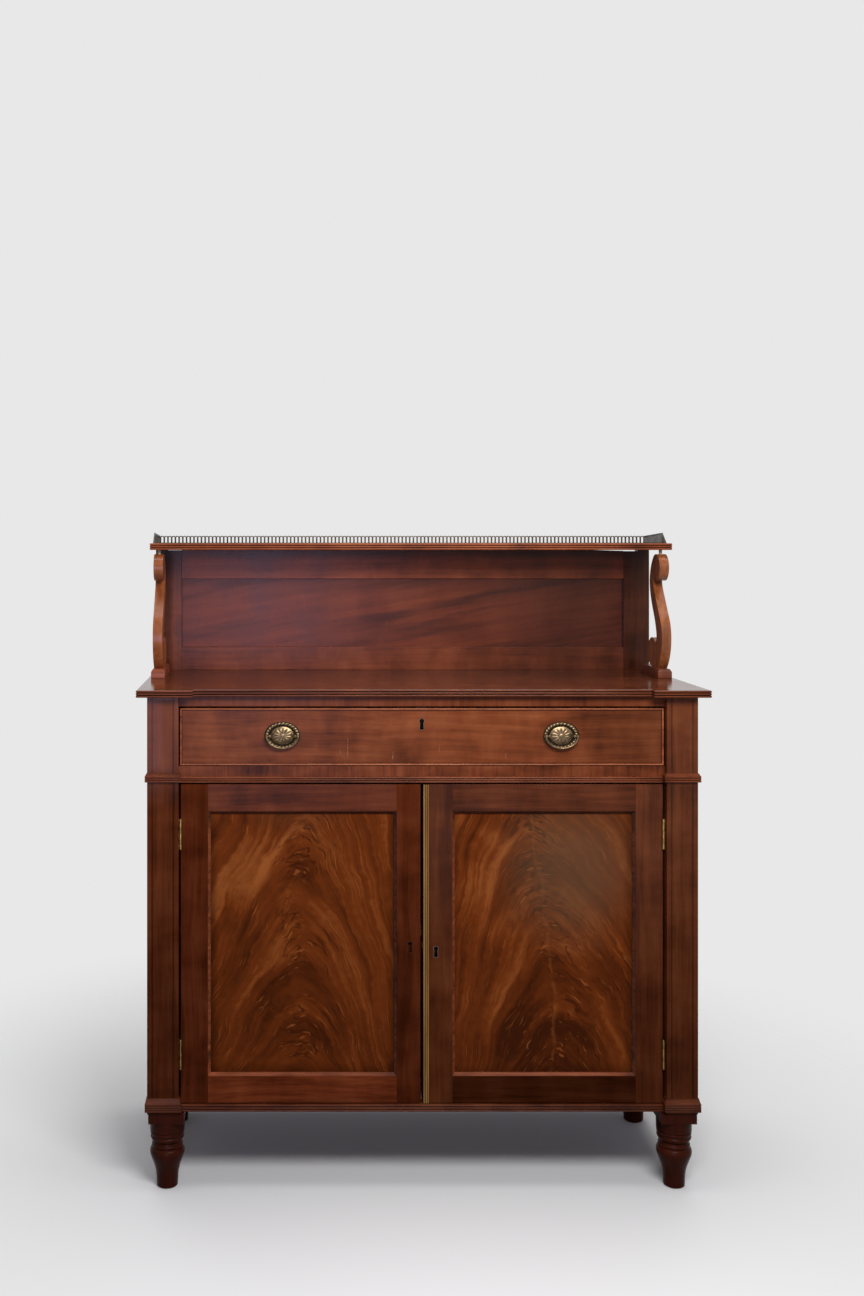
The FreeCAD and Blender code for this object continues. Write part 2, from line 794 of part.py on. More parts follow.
def handle_post_places():
    """Where the four handle posts stand along the drawer."""
    places = []
    for side in (-1, 1):
        for post in (-1, 1):
            places.append(side * handle_spread + post * post_spread)
    return places


def oval(x, z, width, height, y0, y1):
    """An oval disc along Y."""
    ellipse = Part.Ellipse(Vector(0, 0, 0), width / 2, height / 2)
    face = Part.Face(Part.Wire(ellipse.toShape()))
    face.rotate(Vector(0, 0, 0), Vector(1, 0, 0), 90)
    face.translate(Vector(x, y0, z))
    return face.extrude(Vector(0, y1 - y0, 0))


def handle_plate(x):
    """An oval backplate with a raised rim and a rounded boss."""
    z = handle_z
    plate_y = face_y - plate_thickness
    plate = oval(x, z, plate_width, plate_height, face_y, plate_y)
    rim = oval(x, z, plate_width, plate_height, plate_y, plate_y - plate_rim_height)
    inside = oval(
        x, z, plate_width - 2 * plate_rim_width, plate_height - 2 * plate_rim_width,
        plate_y + overrun, plate_y - plate_rim_height - overrun)
    boss = oval(x, z, plate_boss_width, plate_boss_height, plate_y, plate_y - plate_boss_rise)
    crown = min(boss.Edges, key=lambda edge: edge.CenterOfMass.y)
    boss = boss.makeFillet(plate_boss_rise * plate_boss_round_share, [crown])
    plate = joined(plate, rim.cut(inside), boss)
    for post in (-1, 1):
        start = Vector(x + post * post_spread, face_y + overrun, z)
        end = Vector(x + post * post_spread, plate_y - overrun, z)
        plate = plate.cut(cylinder(post_shank_radius + post_shank_clearance, start, end))
    return plate


def handle_post(x):
    """A round post with a ball head, bored across for the bail, and its shank in the drawer front."""
    z = handle_z
    plate_y = face_y - plate_thickness
    head = Vector(x, handle_axis_y, z)
    ball = Part.makeSphere(post_ball_radius, head)
    neck = cylinder(post_neck_radius, Vector(x, plate_y, z), head)
    shank = cylinder(post_shank_radius, Vector(x, plate_y + post_shank_length, z), Vector(x, plate_y, z))
    post = joined(ball, neck, shank)
    across = Vector(post_ball_radius + overrun, 0, 0)
    return post.cut(cylinder(bail_pivot_radius + bail_pivot_clearance, head.sub(across), head.add(across)))


def bail(x):
    """A bail: half an oval ring, with a pivot turned in at each end."""
    centre = Vector(x, handle_axis_y, handle_z)
    ring = Part.Ellipse(Vector(0, 0, 0), bail_half_width, bail_drop)
    path = Part.Edge(ring, math.pi, 2 * math.pi)
    start = path.valueAt(path.FirstParameter)
    section = Part.Wire(Part.makeCircle(bail_radius, start, Vector(0, 1, 0)))
    loop = Part.Wire(path).makePipeShell([section], True, True)
    loop.rotate(Vector(0, 0, 0), Vector(1, 0, 0), 90)
    pieces = []
    for end in (-1, 1):
        corner = Vector(end * bail_half_width, 0, 0)
        inner = Vector(end * (post_spread - post_ball_radius * bail_pivot_reach_share), 0, 0)
        pieces.append(Part.makeSphere(bail_radius, corner))
        pieces.append(cylinder(bail_pivot_radius, inner, corner))
    whole = joined(loop, *pieces)
    whole.translate(centre)
    return whole


def make_handles():
    """Two oval handles."""
    keep("handle_plates", handle_plate(-handle_spread), handle_plate(handle_spread))
    keep("handle_posts", *[handle_post(x) for x in handle_post_places()])
    keep("left_bail", bail(-handle_spread))
    keep("right_bail", bail(handle_spread))


def hinge_lows():
    """The lower ends of the two hinges on a door."""
    return door_z + hinge_end_offset - hinge_height / 2, door_top_z - hinge_end_offset - hinge_height / 2


def hinge_leaf(low, x0, first):
    """One leaf of the right door's hinge with every second knuckle."""
    plate_y = hinge_axis_y + knuckle_radius + knuckle_clearance
    leaf = box(x0, x0 + hinge_leaf_thickness, plate_y, plate_y + hinge_leaf_depth, low, low + hinge_height)
    pitch = hinge_height / hinge_knuckles
    pieces = []
    for index in range(first, hinge_knuckles, 2):
        z0 = low + index * pitch + knuckle_end_gap / 2
        z1 = low + (index + 1) * pitch - knuckle_end_gap / 2
        pieces.append(box(x0, x0 + hinge_leaf_thickness, hinge_axis_y, plate_y, z0, z1))
        pieces.append(cylinder(
            knuckle_radius, Vector(hinge_axis_x, hinge_axis_y, z0), Vector(hinge_axis_x, hinge_axis_y, z1)))
    bore = cylinder(
        hinge_pin_radius + hinge_pin_clearance, Vector(hinge_axis_x, hinge_axis_y, low - overrun),
        Vector(hinge_axis_x, hinge_axis_y, low + hinge_height + overrun))
    return joined(leaf, *pieces).cut(bore)


def make_hinges():
    """Four butt hinges: a leaf on each pilaster, a leaf on each door, and a pin."""
    case_leaves = []
    pins = []
    door_leaves = []
    case_leaf_x = bay_half - hinge_leaf_thickness
    door_leaf_x = case_leaf_x - hinge_leaf_gap - hinge_leaf_thickness
    for low in hinge_lows():
        case_leaves.extend(both_sides(hinge_leaf(low, case_leaf_x, 0)))
        door_leaves.append(hinge_leaf(low, door_leaf_x, 1))
        start = Vector(hinge_axis_x, hinge_axis_y, low)
        end = Vector(hinge_axis_x, hinge_axis_y, low + hinge_height)
        pins.extend(both_sides(cylinder(hinge_pin_radius, start, end)))
    keep("carcass_hinge_leaves", *case_leaves)
    keep("hinge_pins", *pins)
    keep("right_door_hinge_leaves", *door_leaves)
    keep("left_door_hinge_leaves", *[mirrored(leaf) for leaf in door_leaves])


def door_pieces(meeting_width):
    """A right-hand door as stiles, rails, panel and panel beads."""
    inner_x = meet + meeting_width
    hinge_x = door_half - hinge_stile_width
    low_z = door_z + door_bottom_rail_width
    high_z = door_top_z - door_top_rail_width
    meeting = box(meet, inner_x, face_y, door_back_y, door_z, door_top_z)
    hinge = box(hinge_x, door_half, face_y, door_back_y, door_z, door_top_z)
    panel_y = face_y + door_panel_recess
    panel = box(
        inner_x - door_panel_tongue, hinge_x + door_panel_tongue, panel_y, panel_y + door_panel_thickness,
        low_z - door_panel_tongue, high_z + door_panel_tongue)
    tenon_y = (face_y + door_back_y) / 2
    rails = []
    for z0, z1 in ((door_z, low_z), (high_z, door_top_z)):
        tenon_half = (z1 - z0) * door_tenon_height_share / 2
        middle = (z0 + z1) / 2
        tenon = box(
            inner_x - door_tenon_length, hinge_x + door_tenon_length, tenon_y - door_tenon_thickness / 2,
            tenon_y + door_tenon_thickness / 2, middle - tenon_half, middle + tenon_half)
        rail = joined(box(inner_x, hinge_x, face_y, door_back_y, z0, z1), tenon)
        rails.append(rail.cut(panel))
        meeting = meeting.cut(tenon)
        hinge = hinge.cut(tenon)
    panel = panel.cut(rails)
    stiles = [meeting.cut(panel), hinge.cut(panel)]
    strips = mitred_frame(
        inner_x, hinge_x, low_z, high_z, panel_bead_width, face_y + panel_bead_sink, panel_y)
    bevel = panel_bead_width * panel_bead_bevel_share
    beads = [strip.makeChamfer(bevel, [inner]) for strip, outer, inner in strips]
    return stiles, rails, panel, beads


def make_right_door():
    """The right door, with the brass meeting strip and the lock."""
    stiles, rails, panel, beads = door_pieces(strip_width + meeting_stile_width)
    keyhole_x = meet + strip_width + door_keyhole_inset
    lock_z0 = door_keyhole_z - door_lock_height / 2
    lock_z1 = door_keyhole_z + door_lock_height / 2
    lock = box(meet, meet + door_lock_width, door_lock_y, door_back_y, lock_z0, lock_z1)
    y0 = door_bolt_y - door_bolt_thickness / 2
    y1 = door_bolt_y + door_bolt_thickness / 2
    z0 = door_keyhole_z - door_bolt_height / 2
    z1 = door_keyhole_z + door_bolt_height / 2
    bolt_x = meet + bolt_setback
    bolt = box(bolt_x, bolt_x + door_bolt_length, y0, y1, z0, z1)
    channel = box(
        meet - overrun, bolt_x + door_bolt_length, y0 - bolt_clearance, y1 + bolt_clearance,
        z0 - bolt_clearance, z1 + bolt_clearance)
    meeting = stiles[0].cut(box(
        meet - overrun, meet + door_lock_width, door_lock_y, door_back_y + overrun, lock_z0, lock_z1))
    meeting = cut_keyhole(meeting, keyhole_x, door_keyhole_z, door_thickness)
    lock = lock.cut(channel)
    lock = lock.cut(keyhole(
        keyhole_x, door_keyhole_z, 0, door_lock_y - overrun, door_lock_y + lock_plate_skin))
    keep("right_door_stiles", meeting, stiles[1])
    keep("right_door_rails", *rails)
    keep("right_door_panel", panel)
    keep("right_door_panel_beads", *beads)
    keep("right_door_keyhole_lining", keyhole_lining(keyhole_x, door_keyhole_z))
    keep("door_lock", lock)
    keep("door_lock_bolt", bolt)
    strip = reeded_strip(
        -door_top_z, -door_z, face_y - strip_proud, face_y, meet, meet + strip_width, strip_reed_count,
        strip_bulge_share)
    strip.rotate(Vector(0, 0, 0), Vector(0, 1, 0), 90)
    keep("meeting_strip", strip)


def make_left_door():
    """The left door, which takes the lock's bolt and has a slide bolt at its top."""
    stiles, rails, panel, beads = door_pieces(meeting_stile_width)
    meeting = mirrored(stiles[0])
    keyhole_x = -meet - left_keyhole_inset
    keyhole_z = door_keyhole_z + left_keyhole_rise
    meeting = cut_keyhole(meeting, keyhole_x, keyhole_z, keyhole_depth + lining_depth)
    reach = door_bolt_throw - meeting_gap - bolt_setback + bolt_end_clearance
    meeting = meeting.cut(box(
        -meet - reach, -meet + overrun,
        door_bolt_y - door_bolt_thickness / 2 - bolt_clearance,
        door_bolt_y + door_bolt_thickness / 2 + bolt_clearance,
        door_keyhole_z - door_bolt_height / 2 - bolt_clearance,
        door_keyhole_z + door_bolt_height / 2 + bolt_clearance))
    keep("left_door_stiles", meeting, mirrored(stiles[1]))
    keep("left_door_rails", *[mirrored(rail) for rail in rails])
    keep("left_door_panel", mirrored(panel))
    keep("left_door_panel_beads", *[mirrored(bead) for bead in beads])
    keep("left_door_keyhole_lining", keyhole_lining(keyhole_x, keyhole_z))

    bolt_half = slide_bolt_width / 2
    y0 = slide_bolt_y - slide_bolt_thickness / 2
    y1 = slide_bolt_y + slide_bolt_thickness / 2
    bolt_low = slide_bolt_top_z - slide_bolt_length
    bolt = box(slide_bolt_x - bolt_half, slide_bolt_x + bolt_half, y0, y1, bolt_low, slide_bolt_top_z)
    plate_top = door_top_z - slide_plate_top_drop
    plate_low = plate_top - slide_plate_length
    plate = box(
        slide_bolt_x - slide_plate_width / 2, slide_bolt_x + slide_plate_width / 2, door_back_y,
        y1 + slide_plate_wall, plate_low, plate_top)
    plate = plate.cut(box(
        slide_bolt_x - bolt_half - bolt_clearance, slide_bolt_x + bolt_half + bolt_clearance,
        y0 - bolt_clearance, y1 + bolt_clearance, plate_low - overrun, plate_top + overrun))
    knob_z = (plate_low + plate_top - slide_bolt_throw) / 2
    slot_half = slide_knob_radius + bolt_clearance
    slot_top = knob_z + slide_bolt_throw + slot_half + bolt_end_clearance
    plate = plate.cut(box(
        slide_bolt_x - slot_half, slide_bolt_x + slot_half, y1, y1 + slide_plate_wall + overrun,
        knob_z - slot_half - bolt_end_clearance, slot_top))
    knob = cylinder(
        slide_knob_radius, Vector(slide_bolt_x, slide_bolt_y, knob_z),
        Vector(slide_bolt_x, y1 + slide_knob_length, knob_z))
    keep("left_door_bolt", joined(bolt, knob))
    keep("left_door_bolt_plate", plate)


def horn_gap(drop):
    """The space beside a stile's horn, under the shelf."""
    return box(
        upper_half - upper_stile_width - overrun, upper_half - stile_horn_width, upper_face_y - overrun,
        back_y + overrun, shelf_z - drop, shelf_z + overrun)


def make_raised_back():
    """The framed back that stands on the top board. The shelf lies on a horn of each stile."""
    inner_x = upper_half - upper_stile_width
    low_z = top_z + upper_bottom_rail_height
    high_z = upper_top_z - upper_top_rail_height
    stile = box(inner_x, upper_half, upper_face_y, back_y, top_z, shelf_z)
    panel_y = upper_face_y + upper_panel_recess
    panel = box(
        -inner_x - upper_panel_tongue, inner_x + upper_panel_tongue,
        panel_y, panel_y + upper_panel_thickness,
        low_z - upper_panel_tongue, high_z + upper_panel_tongue)
    tenon_y = (upper_face_y + back_y) / 2
    rails = []
    for z0, z1 in ((top_z, low_z), (high_z, upper_top_z)):
        tenon_half = (z1 - z0) * upper_tenon_height_share / 2
        middle = (z0 + z1) / 2
        tenon = box(
            -inner_x - upper_tenon_length, inner_x + upper_tenon_length, tenon_y - upper_tenon_thickness / 2,
            tenon_y + upper_tenon_thickness / 2, middle - tenon_half, middle + tenon_half)
        rails.append(joined(box(-inner_x, inner_x, upper_face_y, back_y, z0, z1), tenon).cut(panel))
        stile = stile.cut(tenon)
    panel = panel.cut(rails)
    stile = stile.cut(panel)
    for hole in peg_holes():
        stile = stile.cut(hole)
    # The top rail falls away from the shelf towards its right end
    slope = [
        (inner_x - rail_slope_length, upper_top_z), (inner_x, upper_top_z - rail_slope_drop),
        (inner_x, upper_top_z),
    ]
    wedge = prism([Vector(x, upper_face_y, z) for x, z in slope], Vector(0, upper_back_thickness, 0))
    bottom_rail, top_rail = rails
    left_stile = mirrored(stile.cut(horn_gap(left_stile_shelf_gap)))
    keep("upper_back_stiles", left_stile, stile.cut(horn_gap(right_stile_shelf_gap)))
    keep("upper_back_rails", bottom_rail, top_rail.cut(wedge))
    keep("upper_back_panel", panel)


def peg_places():
    """Where each peg stands and how high its lower end is."""
    low = shelf_z + peg_sink - peg_length
    return [
        (x, y, low) for x, y in (
            (-scroll_middle, peg_front_y), (scroll_middle, peg_front_y),
            (-peg_back_x, peg_back_y), (peg_back_x, peg_back_y),
        )
    ]


def peg_holes():
    """The holes that the pegs sit in."""
    holes = []
    for x, y, low in peg_places():
        holes.append(cylinder(
            peg_radius + peg_clearance, Vector(x, y, low), Vector(x, y, low + peg_length)))
    return holes


def scroll_point(depth_share, height_share):
    """A point of the scroll's outline, in the plane of its right face."""
    x = scroll_outer
    return Vector(x, scroll_front_y + scroll_depth * depth_share, scroll_z + scroll_height * height_share)


def roll_point(centre, radius, angle):
    """A point on a roll, with the angle counted from straight back towards up."""
    turn = math.radians(angle)
    return centre.add(Vector(0, radius * math.cos(turn), radius * math.sin(turn)))


def make_scrolls():
    """The S-shaped supports, each rolled forward at its top and back at its foot, on a bevelled plinth."""
    top_roll = scroll_point(top_roll_depth_share, 1).sub(Vector(0, 0, top_roll_radius))
    foot_roll = scroll_point(1, 0).add(Vector(0, -foot_roll_radius, foot_roll_radius))
    neck = roll_point(top_roll, top_roll_radius, top_roll_front_angle)
    nape = roll_point(top_roll, top_roll_radius, top_roll_back_angle)
    waist = roll_point(foot_roll, foot_roll_radius, foot_roll_angle)
    heel = roll_point(foot_roll, foot_roll_radius, -90)
    toe = scroll_point(scroll_toe_share, 0)
    front = Part.BSplineCurve()
    front.interpolate([toe] + [scroll_point(*share) for share in scroll_front_shares] + [neck])
    back = Part.BSplineCurve()
    back.interpolate([nape] + [scroll_point(*share) for share in scroll_back_shares] + [waist])
    edges = [
        front.toShape(),
        Part.Arc(neck, roll_point(top_roll, top_roll_radius, 180), nape).toShape(),
        back.toShape(),
        Part.Arc(waist, roll_point(foot_roll, foot_roll_radius, 0), heel).toShape(),
        Part.makeLine(heel, toe),
    ]
    scroll = wire_face(edges).extrude(Vector(-scroll_thickness, 0, 0))
    for hole in peg_holes():
        scroll = scroll.cut(hole)
    left, right = both_sides(scroll)
    keep("left_scroll", left)
    keep("right_scroll", right)

    half = plinth_width / 2
    y0 = shelf_front_y - plinth_forward
    y1 = y0 + plinth_length
    step_z = scroll_z - plinth_bevel_height
    lower = box(scroll_middle - half, scroll_middle + half, y0, y1, top_z, step_z)
    rims = []
    for inset, z in ((0, step_z), (plinth_bevel_width, scroll_z)):
        x0 = scroll_middle - half + inset
        x1 = scroll_middle + half - inset
        corners = [(x0, y0 + inset), (x1, y0 + inset), (x1, y1 - inset), (x0, y1 - inset), (x0, y0 + inset)]
        rims.append(Part.makePolygon([Vector(x, y, z) for x, y in corners]))
    keep("scroll_plinths", *both_sides(joined(lower, Part.makeLoft(rims, True, True))))


def make_gallery_shelf():
    """The reeded shelf over the raised back and the scrolls, and the pegs that carry it."""
    outline = [
        (-shelf_half, shelf_front_y), (shelf_half, shelf_front_y),
        (shelf_half, back_y), (-shelf_half, back_y),
    ]
    shelf = reeded_board(outline, shelf_z, shelf_thickness, back_y, edge_reed_count, reed_round_share)
    for hole in peg_holes():
        shelf = shelf.cut(hole)
    keep("gallery_shelf", shelf)
    keep("shelf_pegs", *[
        cylinder(peg_radius, Vector(x, y, low), Vector(x, y, low + peg_length)) for x, y, low in peg_places()
    ])


def pierced_strip(length, start_height, end_height, rake):
    """A strip along X with a scalloped top and arched loops. Its end may rise and be raked."""
    margin = gallery_end_margin if rake else 0
    count = max(1, round((length - margin) / gallery_pitch))
    pitch = (length - margin) / count
    scallop = pitch * gallery_scallop_share

    def crest(x):
        return start_height + (end_height - start_height) * x / length

    edges = []
    holes = []
    last = Vector(0, 0, crest(0) - scallop)
    for index in range(count):
        x0 = index * pitch
        x1 = x0 + pitch
        middle = (x0 + x1) / 2
        after = Vector(x1, 0, crest(x1) - scallop)
        edges.append(Part.Arc(last, Vector(middle, 0, crest(middle)), after).toShape())
        last = after
        half = pitch * gallery_slot_share / 2
        spring = crest(middle) - gallery_rim_height - half
        corners = [
            Vector(middle - half, 0, spring), Vector(middle - half, 0, gallery_base_height),
            Vector(middle + half, 0, gallery_base_height), Vector(middle + half, 0, spring),
        ]
        slot = [Part.makeLine(a, b) for a, b in zip(corners, corners[1:])]
        slot.append(Part.Arc(corners[-1], Vector(middle, 0, spring + half), corners[0]).toShape())
        holes.append(wire_face(slot))
    outline = [last]
    if rake:
        outline.append(Vector(length, 0, crest(length)))
    outline += [Vector(length + rake, 0, 0), Vector(0, 0, 0), Vector(0, 0, crest(0) - scallop)]
    edges += [Part.makeLine(a, b) for a, b in zip(outline, outline[1:])]
    face = wire_face(edges).cut(holes)
    return face.extrude(Vector(0, gallery_thickness, 0)).Solids[0]


def make_gallery():
    """The pierced brass gallery: a back strip between two returns that rise to the front."""
    half = shelf_half - gallery_end_inset
    strip_y = back_y - gallery_back_inset
    back = pierced_strip(2 * (half - gallery_thickness), gallery_height, gallery_height, 0)
    back.translate(Vector(-half + gallery_thickness, strip_y - gallery_thickness, shelf_top_z))
    side = pierced_strip(gallery_return_length, gallery_height, gallery_front_height, gallery_rake)
    side.rotate(Vector(0, 0, 0), Vector(0, 0, 1), -90)
    side.translate(Vector(half - gallery_thickness, strip_y, shelf_top_z))
    keep("brass_gallery", back, *both_sides(side))


def export():
    """Writes one file for each node."""
    os.makedirs("parts", exist_ok=True)
    for node, solids in parts.items():
        shape = solids[0] if len(solids) == 1 else Part.makeCompound(solids)
        found = shape.Solids
        sound = shape.isValid() and all(solid.Volume > 0 for solid in found)
        print(node, len(found), "solids", "sound" if sound else "NOT SOUND")
        shape.exportStep(os.path.join("parts", node + ".step"))


make_top()
make_pilasters()
make_case()
make_back_boards()
make_front_rails()
make_feet()
make_drawer_bearings()
make_cupboard_shelf()
make_drawer()
make_drawer_lock()
make_handles()
make_hinges()
make_right_door()
make_left_door()
make_raised_back()
make_scrolls()
make_gallery_shelf()
make_gallery()
export()
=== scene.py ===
import bpy
import bmesh
import json
import math
from mathutils import Matrix, Vector


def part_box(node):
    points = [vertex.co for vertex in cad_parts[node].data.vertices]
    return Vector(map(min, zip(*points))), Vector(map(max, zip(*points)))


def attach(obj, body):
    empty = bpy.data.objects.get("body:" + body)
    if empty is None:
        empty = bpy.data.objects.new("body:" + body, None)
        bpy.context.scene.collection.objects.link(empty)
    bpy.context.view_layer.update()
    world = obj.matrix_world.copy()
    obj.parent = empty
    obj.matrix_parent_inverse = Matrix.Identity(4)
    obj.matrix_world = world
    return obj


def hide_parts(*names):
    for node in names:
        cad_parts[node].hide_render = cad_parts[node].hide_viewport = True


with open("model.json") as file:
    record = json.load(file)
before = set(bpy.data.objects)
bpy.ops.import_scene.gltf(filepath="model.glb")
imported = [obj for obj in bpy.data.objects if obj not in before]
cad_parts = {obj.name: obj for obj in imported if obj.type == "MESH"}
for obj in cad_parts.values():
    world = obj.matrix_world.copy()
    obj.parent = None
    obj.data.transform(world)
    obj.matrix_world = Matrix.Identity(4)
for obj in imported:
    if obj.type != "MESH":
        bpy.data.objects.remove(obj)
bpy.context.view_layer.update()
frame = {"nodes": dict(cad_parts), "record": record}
record = frame["record"]
nodeBody = {node: body for body, members in record["behaviour"]["bodies"].items() for node in members}
scene = bpy.context.scene
print("frame loaded:", len(frame["nodes"]), "nodes")


# ways to write node trees shortly

noiseMiddle = 0.5
mixSockets = {"factor": 0, "first": 6, "second": 7, "result": 2}  # the Mix node's sockets for colours


def rgba(color, tone=1.0):
    return tuple(channel * tone for channel in color) + (1.0,)


def feed(tree, socket, value):
    if isinstance(value, bpy.types.NodeSocket):
        tree.links.new(value, socket)
    else:
        socket.default_value = value


def addNode(tree, kind, inputs=None, **settings):
    made = tree.nodes.new(kind)
    for key, value in settings.items():
        setattr(made, key, value)
    for key, value in (inputs or {}).items():
        feed(tree, made.inputs[key], value)
    return made


def calc(tree, operation, *values):
    return addNode(tree, "ShaderNodeMath", dict(enumerate(values)), operation=operation).outputs[0]


def times(tree, first, second):
    return calc(tree, "MULTIPLY", first, second)


def summed(tree, first, *others):
    total = first
    for other in others:
        total = calc(tree, "ADD", total, other)
    return total


def apart(tree, value, place):
    # how far a value lies from a place, to either side
    return calc(tree, "ABSOLUTE", calc(tree, "SUBTRACT", value, place))


def split(tree, vector):
    return addNode(tree, "ShaderNodeSeparateXYZ", {"Vector": vector}).outputs


def band(tree, value, low, high, outLow=0.0, outHigh=1.0):
    made = addNode(tree, "ShaderNodeMapRange", {
        "Value": value, "From Min": low, "From Max": high, "To Min": outLow, "To Max": outHigh,
    }, interpolation_type="SMOOTHSTEP")
    return made.outputs["Result"]


def fading(tree, value, near, far):
    return band(tree, value, near, far, 1.0, 0.0)


def cloud(tree, vector, scale, detail, rough):
    made = addNode(tree, "ShaderNodeTexNoise", {
        "Vector": vector, "Scale": scale, "Detail": detail, "Roughness": rough})
    return made.outputs["Fac"]


def layers(tree, vector, spec, *names):
    # named layers of noise, each drawn out along the axes by its own stretch
    made = []
    for name in names:
        stretch, detail, rough = spec[name]
        drawn = addNode(tree, "ShaderNodeMapping", {"Vector": vector, "Scale": stretch}).outputs[0]
        made.append(cloud(tree, drawn, 1.0, detail, rough))
    return made


def centred(tree, value, amount):
    return times(tree, calc(tree, "SUBTRACT", value, noiseMiddle), amount)


def warped(tree, vector, scale, reach):
    # pushes the coordinates about by slow noise, reach in metres along each axis
    noise = addNode(tree, "ShaderNodeTexNoise", {"Vector": vector, "Scale": scale}).outputs["Color"]
    middle = (noiseMiddle,) * 3
    push = addNode(tree, "ShaderNodeVectorMath", {0: noise, 1: middle}, operation="SUBTRACT").outputs[0]
    pushed = addNode(tree, "ShaderNodeVectorMath", {0: push, 1: reach, 2: vector}, operation="MULTIPLY_ADD")
    return pushed.outputs[0]


def mixed(tree, factor, first, second, mode="MIX"):
    made = addNode(tree, "ShaderNodeMix", data_type="RGBA", blend_type=mode)
    for name, value in (("factor", factor), ("first", first), ("second", second)):
        feed(tree, made.inputs[mixSockets[name]], value)
    return made.outputs[mixSockets["result"]]


def laid(tree, color, other, mask, strength):
    # another colour laid over the first by a mask times a strength
    return mixed(tree, times(tree, mask, strength), color, other)


def threeTone(tree, figure, given):
    # from dark at 0 through mid at a half to light at 1
    lower = times(tree, figure, 2.0)
    upper = calc(tree, "MULTIPLY_ADD", figure, 2.0, -1.0)
    return mixed(tree, upper, mixed(tree, lower, given["Dark"], given["Mid"]), given["Light"])


# surface groups; a wander is scale and reach, a layer is stretch, detail and roughness,
# a cloud is scale, detail and roughness, and an edge is where a mask starts and where it is full

surfaceOutputs = {"Color": "Color", "Roughness": "Float", "Height": "Float"}


def newGroup(name, inputs):
    tree = bpy.data.node_groups.new(name, "ShaderNodeTree")
    for direction, sockets in (("INPUT", inputs), ("OUTPUT", surfaceOutputs)):
        for label, kind in sockets.items():
            tree.interface.new_socket(label, in_out=direction, socket_type="NodeSocket" + kind)
    return tree, tree.nodes.new("NodeGroupInput").outputs, tree.nodes.new("NodeGroupOutput").inputs


straightGrain = {
    "wander": (3.2, (0.0, 0.022, 0.022)),
    "streak": ((3.5, 95, 95), 3.0, 0.6), "streakWeight": 1.7,
    "fibre": ((16, 620, 620), 2.0, 0.5), "fibreWeight": 0.7,
    "mottle": ((15, 9, 9), 3.0, 0.55), "mottleWeight": 1.9, "mottleRough": 0.12,
    "smoke": ((2.4, 26, 26), 3.0, 0.55), "smokeEdge": (0.5, 0.7),
    "pore": ((120, 1700, 1700), 1.0, 0.5), "poreEdge": (0.62, 0.74),
    "poreDark": 0.35, "poreRough": 0.1, "poreHeight": -0.7,
    "base": 0.5,
}


def buildGrainGroup(spec):
    # straight mahogany, the grain along the vector's X
    tree, given, out = newGroup("mahoganyGrain", {
        "Vector": "Vector", "Dark": "Color", "Mid": "Color", "Light": "Color",
        "Streaks": "Float", "Smoke": "Float", "Mottle": "Float", "Rough": "Float"})
    vector = warped(tree, given["Vector"], *spec["wander"])
    streak, fibre, mottle, smoke, pore = layers(
        tree, vector, spec, "streak", "fibre", "mottle", "smoke", "pore")
    smoke = band(tree, smoke, *spec["smokeEdge"])
    pore = band(tree, pore, *spec["poreEdge"])
    figure = summed(
        tree, times(tree, centred(tree, streak, spec["streakWeight"]), given["Streaks"]),
        times(tree, centred(tree, fibre, spec["fibreWeight"]), given["Streaks"]),
        times(tree, centred(tree, mottle, spec["mottleWeight"]), given["Mottle"]), spec["base"])
    color = threeTone(tree, figure, given)
    color = laid(tree, color, given["Dark"], smoke, given["Smoke"])
    color = laid(tree, color, given["Dark"], pore, spec["poreDark"])
    feed(tree, out["Color"], color)
    feed(tree, out["Roughness"], summed(
        tree, given["Rough"], times(tree, mottle, spec["mottleRough"]), times(tree, pore, spec["poreRough"])))
    feed(tree, out["Height"], calc(tree, "MULTIPLY_ADD", pore, spec["poreHeight"], fibre))
    return tree


flameFigure = {
    "wanders": ((3.5, (0.07, 0.0, 0.09)), (14.0, (0.02, 0.0, 0.028)), (60.0, (0.008, 0.0, 0.012))),
    "leanFrom": 0.45, "fallPower": 1.75,  # the height where the spine is as given, and how the bands drop
    "broad": ((6.0, 14.0, 1.0), 3.0, 0.55), "broadWeight": 1.15,
    "feather": ((9.0, 28.0, 1.0), 4.0, 0.6), "featherWeight": 0.7, "featherHeight": 0.4,
    "wisp": ((30.0, 95.0, 1.0), 3.0, 0.6), "wispWeight": 0.5,
    "fibre": ((50.0, 620.0, 1.0), 2.0, 0.5), "fibreWeight": 0.05,
    "mottle": (60.0, 4.0, 0.62), "mottleWeight": 0.4,
    "curl": ((36.0, 80.0, 1.0), 2.0, 0.6), "curlEdge": (0.54, 0.66), "curlDark": 0.6, "curlRough": 0.1,
    "ring": ((18.0, 54.0, 1.0), 1.0, 0.5), "ringEdge": (0.008, 0.036), "ringDark": 0.85,
    "fleck": ((45.0, 170.0, 1.0), 1.0, 0.5), "fleckEdge": (0.64, 0.73), "fleckLight": 0.6,
    "keen": (12.0, 2.0, 0.5), "keenEdge": (0.36, 0.56),
    "plumeEdge": (0.015, 0.1), "seamEdge": (0.0008, 0.0055), "seamBreaks": (0.36, 0.6),
    "base": 0.42, "rough": 0.24,
}


